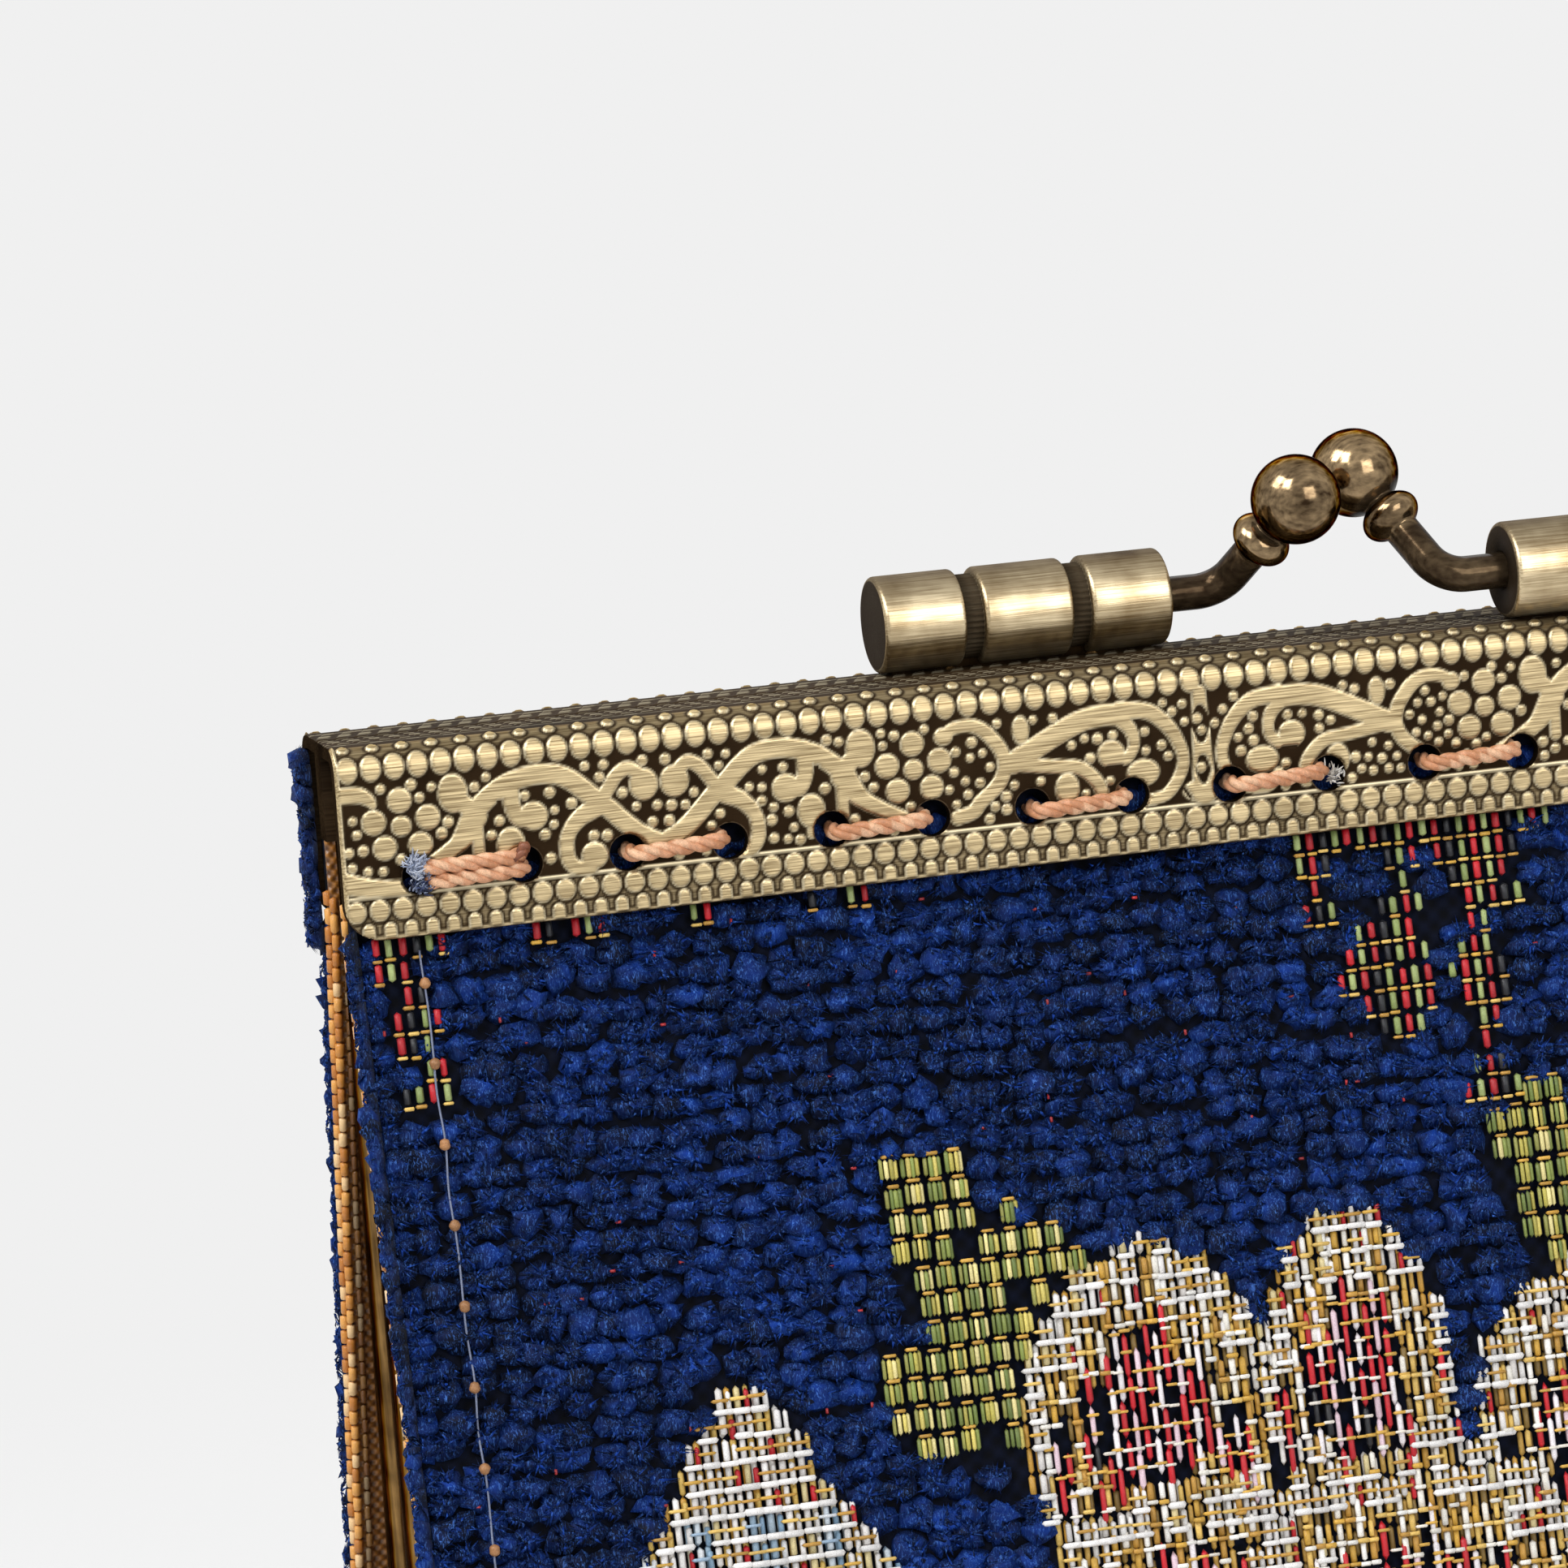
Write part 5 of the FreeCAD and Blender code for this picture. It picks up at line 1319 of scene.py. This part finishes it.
# %% Base
base_sheet = cloth_sheet(
    "base_cloth_ground", on_base, FRONT, np.linspace(-CLOTH_HALF, CLOTH_HALF, 60), np.linspace(0, BASE_RUN,
            90),
    lambda x, t: np.full(x.shape, -0.55), lambda x, t: np.full(x.shape, -0.98),
    GROUND, "chenille", ("base_cloth",), None)
base_places = tuft_places(CLOTH_HALF, BASE_RUN, base_zone, np.random.default_rng(21))
base_top = [
    lay_tufts("base_tufts", on_base, FRONT, base_places, CLOTH_HALF, None, 21, top=0.05),
    lay_fibres("base_fibres", on_base, FRONT, base_places, CLOTH_HALF, None, 21, each=8, lift=-0.1),
    lay_yarns("base_yarns", on_base, FRONT, CLOTH_HALF, BASE_RUN, base_zone, None, 22),
]

# %% [markdown]
# ## Lining
# The lining is a gold satin. Inside, it is a plain woven sheet over the board, and at the two
# side edges, where it is turned out round the cloth, its floats show as columns of shiny beads
# 0.8 mm apart. The sheet steps in over the board's edge, as the glued lining does.

# %% Lining sheets and their beaded edges


def lining_depth(x, t):
    """Depth behind the face: 1.05 near the edges, 1.7 over the board, with a soft step between."""
    step = np.clip((48.9 - np.abs(x)) / 0.6, 0, 1)
    return -(1.05 + 0.65 * step * step * (3 - 2 * step))


def edge_beads(name, side, body):
    """Columns of satin floats along both side edges of a panel, on the lining's turned-out rim; the innermost
    column is darkened as painted shade.
    """
    rng = np.random.default_rng(40 + side)
    rows = np.arange(-1.3, PANEL_RUN - 0.2, 0.8)
    count = len(rows)
    columns = []
    for end in (-1, 1):
        for number, (place, depth, size) in enumerate([(52.2, -1.12, 0.29), (52.0, -1.55, 0.29),
                                                       (51.5, -1.6, 0.22)]):
            x = end * place + rng.uniform(-0.03, 0.03, count)
            t = rows + 0.3 * (number % 2) + rng.uniform(-0.03, 0.03, count)
            columns.append((x, t, np.full(count, depth), size * rng.uniform(0.9, 1.1, count)))
    x, t, out, thick = (np.concatenate(parts) for parts in zip(*columns))
    table = np.array([linear(c) for c in ("#D9923E", "#EBAA56", "#C67E32", "#F7D098")])
    # Painted shade: the column inside 51.7 mm keeps only 0.3 of its colour.
    painted_shade = np.where(np.abs(x) > 51.7, 1.0, 0.3)[:, None]
    colours = table[rng.integers(0, 4, len(x))] * painted_shade
    return strokes(name, on_panel, side, x, t, out, np.full(len(x), 0.4), thick, np.ones(len(x), bool),
                   colours, body, SATIN_FLOAT, "lining", dive=0.06)


STEP_OUT, STEP_IN = 49.1, 48.1
LINING_XS = np.concatenate([np.linspace(-CLOTH_HALF, -STEP_OUT, 12)[:-1],
                            np.linspace(-STEP_OUT, -STEP_IN, 9)[:-1],
                            np.linspace(-STEP_IN, STEP_IN, 90)[:-1], np.linspace(STEP_IN, STEP_OUT, 9)[:-1],
                            np.linspace(STEP_OUT, CLOTH_HALF, 12)])
LINING_TS = np.concatenate([np.linspace(PANEL_TOP, 0, 8)[:-1], np.linspace(0, PANEL_RUN, 40)])
BASE_LINING_HALF = 48.95
for side in (FRONT, BACK):
    word, body = SIDE_NAME[side], HALF[side]
    lining = cloth_sheet(
        f"{word}_lining_sheet", on_panel, side, LINING_XS, LINING_TS,
        lining_depth, lambda x, t: lining_depth(x, t) - 0.3, LINING, "lining", (f"{word}_lining",), body)
    beads = edge_beads(f"{word}_lining_edge", side, body)
base_lining = cloth_sheet(
    "base_lining_sheet", on_base, FRONT, np.linspace(-BASE_LINING_HALF, BASE_LINING_HALF, 60),
    np.linspace(0, BASE_RUN, 80), lambda x, t: np.full(x.shape, -1.05), lambda x, t: np.full(x.shape, -1.35),
    LINING, "lining", ("base_lining",), None)

# %% [markdown]
# ## Pleated sides
# Behind the legs a strip of lining closes each side. Shut, it is folded into the purse like a
# fan, and it needs enough cloth to span the open mouth, so the folds are real: a zigzag of
# layers 7 mm deep near the parting plane, between two walls that follow the panels.

# %% Gussets
WALL = 48.5


def gusset_grid(end, push):
    """Rows down the side, columns across it: front wall, a fan of folds and back wall; push thickens it."""
    levels = np.concatenate([np.linspace(64, 18, 30), np.linspace(18, 9, 10)[1:],
                             np.linspace(9, 1.75, 10)[1:]])
    wide = np.interp(levels, [1.65, 9, 18, 64], [3.2, 11.9, 12.19, 2.0])
    fan = np.array([(-1.55, 42.1), (-1.1, 48.0), (-0.65, 42.1), (-0.2, 47.8),
                    (0.2, 47.8), (0.65, 42.1), (1.1, 48.0), (1.55, 42.1)])
    share = np.linspace(0, 1, 12)[:, None]
    rows = []
    for level, reach in zip(levels, wide):
        front = np.array([-reach, WALL]) + share * (fan[0] - np.array([-reach, WALL]))
        folds = np.concatenate([a + np.linspace(0, 1, 8)[1:, None] * (b - a) for a,
                                b in zip(fan[:-1], fan[1:])])
        back = np.array([reach, WALL]) + share[::-1] * (fan[-1] - np.array([reach, WALL]))
        line = np.concatenate([front, folds, back[1:]])
        soft = line.copy()
        soft[1:-1] = 0.5 * line[1:-1] + 0.25 * (line[:-2] + line[2:])
        run = np.gradient(soft, axis=0)
        square = unit(np.stack([run[:, 1], -run[:, 0]], 1))
        waver = 0.12 * np.sin(level * 0.35 + np.arange(len(soft)) * 0.5)
        ripple = np.where(np.abs(soft[:, 0]) > 2.2, waver, 0.0)
        placed = soft + square * (push + ripple)[:, None]
        rows.append(np.stack([end * placed[:, 1], placed[:, 0], np.full(len(placed), level)], 1))
    return np.array(rows)


gussets = []
for end, word in ((-1, "left"), (1, "right")):
    outer, inner = gusset_grid(end, 0.06 * end), gusset_grid(end, -0.06 * end)
    piece = make_piece(f"gusset_{word}_pleats", *shell(outer, inner), LINING, None, "lining",
                       (f"gusset_{word}",))
    rows, columns = outer.shape[:2]
    across, down = np.meshgrid(np.arange(columns) * 0.8, np.arange(rows) * 1.3)
    lay_uv(piece, across, down)
    gussets.append(piece)

# %% [markdown]
# ## Sewing thread
# The panels are sewn to the frame with waxed cord. It comes up through one hole, runs along the
# face to the next and goes down again. The cord is three strands laid round each other: each
# strand is a thin tube whose middle circles the stitch's own path once every 2.7 mm.

# %% Frame stitches


def stitch_path(left, right, rise, depth, level):
    """Out of the left hole, round a small bend, along the face and down the right hole, in a flat plane."""
    bend = 0.62
    turn = np.linspace(0, math.pi / 2, 8)
    run = [np.array([(left, depth - 2.2), (left, depth - 1.2)]),
           np.stack([left + bend * (1 - np.cos(turn)), depth - bend + bend * np.sin(turn)], 1),
           np.stack([np.linspace(left + bend, right - bend, 22)[1:-1], np.full(20, depth)], 1),
           np.stack([right - bend + bend * np.sin(turn), depth - bend + bend * np.cos(turn)], 1),
           np.array([(right, depth - 1.2), (right, depth - 2.2)])]
    run = np.concatenate(run)
    share = np.clip((run[:, 0] - left) / (right - left), 0, 1)
    return np.stack([run[:, 0], run[:, 1], level + rise * share], 1)


def cord_strands(path, side, size=0.42, pitch=2.7, phase=0.0):
    """Three strands of 0.56 of the cord's radius, circling its path at 0.46 of its radius."""
    path = path * np.array([1, side, 1])
    length = np.concatenate([[0], np.cumsum(np.linalg.norm(np.diff(path, axis=0), axis=1))])
    even = np.linspace(0, length[-1], int(length[-1] / 0.11))
    path = np.stack([np.interp(even, length, path[:, i]) for i in range(3)], 1)
    shapes = []
    for number in range(3):
        angle = 2 * math.pi * even / pitch + phase + number * 2 * math.pi / 3
        shift = (0.46 * size * np.cos(angle), 0.46 * size * np.sin(angle))
        shapes.append(tube(path, 0.56 * size, (0, 0, 1), around=10, shift=shift))
    return shapes


def cord_colours(count, rng, names=("#DDA078", "#C98A60", "#EDBB94")):
    """A slow change of tan along the cord."""
    table = np.array([linear(name) for name in names])
    pick = (np.arange(count) // 60) % len(names)
    return table[pick] * rng.uniform(0.85, 1.1, (count, 1))


def frame_stitches(side):
    """Ten stitches, one for each pair of holes; the first on the front is doubled and knotted."""
    rng = np.random.default_rng(60 + side)
    shapes = []
    for pair in range(10):
        left, right = HOLES[2 * pair], HOLES[2 * pair + 1]
        depth = 4.56
        start, finish = left + 0.15, right - 0.42
        level = 71.5 + rng.uniform(-0.12, 0.12)
        if pair == 0 and side == FRONT:
            shapes += cord_strands(stitch_path(left - 0.1, right - 0.3, 0.05, depth, 72.05), side, 0.4)
            shapes += cord_strands(stitch_path(left + 0.25, right - 0.1, 0.12, depth, 71.35), side, 0.4,
                                   phase=2.0)
            knot = np.linspace(0, 2.2 * math.pi, 30)
            loop = np.stack([right - 0.35 + 0.3 * np.cos(knot), 4.5 + 0.25 * np.sin(knot),
                             72.05 + 0.5 * np.sin(knot + 0.8)], 1)
            knot_shapes = cord_strands(loop, side, 0.36)
        else:
            shapes += cord_strands(stitch_path(start, finish, 0.2, depth, level), side,
                                   phase=rng.uniform(0, 3))
    word = SIDE_NAME[side]
    if side == FRONT:
        points, faces = join_shapes(knot_shapes)
        make_piece("front_stitch_knot", points, faces, CORD, HALF[side], "waxed_thread",
                   colours=cord_colours(len(points), rng, ("#8A4E2E", "#6A3820", "#A8683E")))
    points, faces = join_shapes(shapes)
    return make_piece(f"{word}_frame_stitches_cord", points, faces, CORD, HALF[side], "waxed_thread",
                      (f"{word}_frame_stitches",), colours=cord_colours(len(points), rng))


frame_stitches(FRONT)
frame_stitches(BACK)

# %% Frayed ends at the first stitch


def frayed_tuft(name, side, centre, spread, count, names, body, seed):
    """Thin curved hairs from one middle: each is a short tube that tapers from 0.05 to 0.01."""
    rng = np.random.default_rng(seed)
    shapes, colours = [], []
    for _ in range(count):
        heading = unit(rng.normal(0, 0.6, 3) + np.array([0.35, 0.4 * side, 0.8]))
        length = rng.uniform(0.4, 1.0) * spread
        start = np.array(centre) + rng.normal(0, 0.2, 3)
        droop = unit(np.cross(heading, rng.normal(0, 1, 3)))
        share = np.linspace(0, 1, 5)[:, None]
        path = start + heading * length * share + droop * 0.3 * length * share ** 2
        shape = tube(path, np.array([0.05, 0.05, 0.045, 0.03, 0.01]), np.cross(heading, droop), around=4)
        shapes.append(shape)
        colours.append(np.repeat(linear(names[rng.integers(len(names))])[None], len(shape[0]), 0))
    points, faces = join_shapes(shapes)
    return make_piece(name, points, faces, YARN, body, "waxed_thread", colours=np.concatenate(colours))


frayed_tuft("front_frayed_end", FRONT, (-48.9, -4.3, 72.0), 0.6, 520,
            ["#A4AEC6", "#D4DAE8", "#B9C2D6", "#8894B0"], "front_half", 5)
frayed_tuft("front_frayed_base", FRONT, (-48.75, -4.2, 71.2), 0.5, 240,
            ["#1C2C58", "#2A3B66", "#0F1A3C", "#8894B0"], "front_half", 7)
frayed_tuft("front_frayed_fibre", FRONT, (-2.4, -4.2, 71.5), 0.5, 60, ["#D8D4CE", "#B9B2A8"], "front_half", 6)

# %% [markdown]
# ## Side seams
# Near each side edge a thin grey thread holds cloth, board and lining together. It lies in a
# shallow line between the tufts, and every 3.9 mm a small waxed knot sits on it.

# %% Side seams
SEAM_X = 48.9
FIRST_KNOT = 2.4
KNOT_PITCH = 3.9


def side_seams(side):
    """For each edge one thin thread down the panel, and a small lumpy ball at every knot."""
    rng = np.random.default_rng(80 + side)
    shapes, colours = [], []
    for end in (-1, 1):
        t = np.linspace(0.8, PANEL_RUN - 0.4, 160)
        x = end * (SEAM_X + 0.05 * np.sin(t * 1.1))
        path = on_panel(x, t, 0.06 + 0.08 * np.cos(2 * math.pi * (t - FIRST_KNOT) / KNOT_PITCH), side)
        shape = tube(path, 0.055, (1, 0, 0), around=6)
        shapes.append(shape)
        colours.append(np.repeat(linear("#77809A")[None], len(shape[0]), 0))
        for knot in np.arange(FIRST_KNOT, PANEL_RUN - 0.8, KNOT_PITCH):
            middle = on_panel(np.array(end * SEAM_X), np.array(knot), np.array(0.2), side)
            share = np.linspace(-1, 1, 9)
            path = middle + share[:, None] * np.array([0, 0, 0.3])
            ball = 0.27 * np.sqrt(np.clip(1 - share ** 2, 0.003, 1)) * (1 + 0.08 * np.sin(5 * share + knot))
            shape = tube(path, ball, (1, 0, 0), along=(0, 0, 1), around=12)
            shapes.append(shape)
            tint = linear("#AD7A4C") * rng.uniform(0.8, 1.15)
            colours.append(np.repeat(tint[None], len(shape[0]), 0))
    points, faces = join_shapes(shapes)
    word = SIDE_NAME[side]
    return make_piece(f"{word}_side_seam_thread", points, faces, CORD, HALF[side], "seam_thread",
                      (f"{word}_side_seams",), colours=np.concatenate(colours))


side_seams(FRONT)
side_seams(BACK)

# %% [markdown]
# ## The base and the pleats
# The base, with its lining and pile, and the pleats ride on no body; their transforms are baked
# into their points.

# %% Base and pleats baked in place
for piece in [base_sheet, base_lining] + base_top:
    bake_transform(piece)
for piece in gussets:
    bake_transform(piece)

# %% [markdown]
# ## Studio
# The purse stands on a pale sweep, lit by two soft boxes high on the left, a fill in front, a weak
# lamp behind and the pale room itself. The camera stands a little to the left, slightly above,
# with a long lens, which is the photograph's own view.

# %% Floor and backdrop


def plainly_seen(tree):
    """1 for the rays that show a backdrop as it is (camera, gloss and glass), and 0 for those that light."""
    rays = add_node(tree, "LightPath")
    seen = add_node(tree, "Math", {"operation": "MAXIMUM", 0: rays["Is Camera Ray"],
                                   1: rays["Is Glossy Ray"]})
    return add_node(tree, "Math", {"operation": "MAXIMUM", 0: seen[0], 1: rays["Is Transmission Ray"]})[0]


def sweep_finish():
    """Painted board: its colour is the studio's pale grey. From 90 to 220 mm out it turns into the
    backdrop."""
    material, tree, shader = new_finish("studio_board_painted", Roughness=0.9)
    place = add_node(tree, "TexCoord")
    grain = add_node(tree, "TexNoise", {"Vector": place["Object"], "Scale": 30.0})
    tone = add_node(tree, "Mix", {**RGBA_MIX, 0: grain[0], 6: paint("#EFEFEF"), 7: paint("#F1F1F1")})
    wire(tree, shader, Base_Color=tone[2])
    far = add_node(tree, "VectorMath", {"operation": "LENGTH", 0: place["Object"]})
    beyond = add_node(tree, "MapRange", {"interpolation_type": "SMOOTHSTEP", 0: far["Value"], 1: 0.09,
                                         2: 0.22})
    share = add_node(tree, "Math", {"operation": "MULTIPLY", 0: beyond[0], 1: plainly_seen(tree)})
    plain = add_node(tree, "Emission", {"Color": paint("#F0F0F0"), "Strength": 1.0})
    both = add_node(tree, "MixShader", {0: share[0], 1: shader.outputs[0], 2: plain[0]})
    tree.links.new(both[0], tree.nodes["Material Output"].inputs["Surface"])
    return material


floor_x, floor_v = np.meshgrid(np.linspace(-900, 900, 25), np.linspace(0, 1, 60))
run = floor_v * 2200
bend_start, bend_radius = 1300.0, 300.0
turn = np.clip((run - bend_start) / bend_radius, 0, math.pi / 2)
floor_y = -900 + np.minimum(run, bend_start) + bend_radius * np.sin(turn)
floor_z = bend_radius * (1 - np.cos(turn)) + np.maximum(run - bend_start - bend_radius * math.pi / 2, 0)
floor = make_piece("studio_sweep", np.stack([floor_x, floor_y, floor_z - 0.02], -1), [grid_faces(60, 25)],
                   sweep_finish())

# %% World and lamps
world = bpy.data.worlds.new("studio_room")
bpy.context.scene.world = world
world.use_nodes = True
room = world.node_tree
backdrop = room.nodes["Background"]
backdrop.inputs["Color"].default_value = paint("#F0F0F0")
strength = add_node(room, "MapRange", {0: plainly_seen(room), 3: 0.34, 4: 1.0})
room.links.new(strength[0], backdrop.inputs["Strength"])


def placed(right, up, back, place):
    """A lamp's or a camera's matrix from its own three directions and its place."""
    turn = Matrix([list(row) for row in np.stack([right, up, back], 1)]).to_4x4()
    turn.translation = place
    return turn


def lamp(name, place, aim, wide, high, power):
    """A soft box: an area lamp at a place, turned to its aim, in metres and watts."""
    data = bpy.data.lights.new(name, "AREA")
    data.shape = "RECTANGLE"
    data.size, data.size_y, data.energy = wide, high, power
    thing = bpy.data.objects.new(name, data)
    bpy.context.scene.collection.objects.link(thing)
    back = unit(np.array(place) - np.array(aim))
    right = unit(np.cross([0, 0, 1], back))
    thing.matrix_world = placed(right, np.cross(back, right), back, place)


lamp("key_softbox_left", (-0.51, -0.08, 0.63), (0, 0, 0.06), 0.24, 0.34, 2.7)
lamp("key_softbox_right", (-0.37, -0.36, 0.63), (0, 0, 0.06), 0.24, 0.34, 2.7)
lamp("fill_softbox", (0.25, -0.7, 0.35), (0, 0, 0.05), 0.4, 0.4, 2.3)
lamp("back_softbox", (0.1, 0.5, 0.5), (0, 0, 0.06), 0.4, 0.3, 0.6)

# %% Camera
camera_data = bpy.data.cameras.new("view_camera")
camera_data.lens = 152.14
camera_data.sensor_width = 36.0
camera_data.clip_start = 0.01
camera_data.clip_end = 10.0
camera = bpy.data.objects.new("view_camera", camera_data)
bpy.context.scene.collection.objects.link(camera)
forward = unit((0.2485, 0.9566, -0.152))
right = np.array((0.9627, -0.2612, -0.0703))
right = unit(right - forward * (right @ forward))
camera.matrix_world = placed(right, np.cross(right, forward), -forward, (-0.11032, -0.31145, 0.12295))
bpy.context.scene.camera = camera
bpy.context.scene.view_settings.view_transform = "Standard"
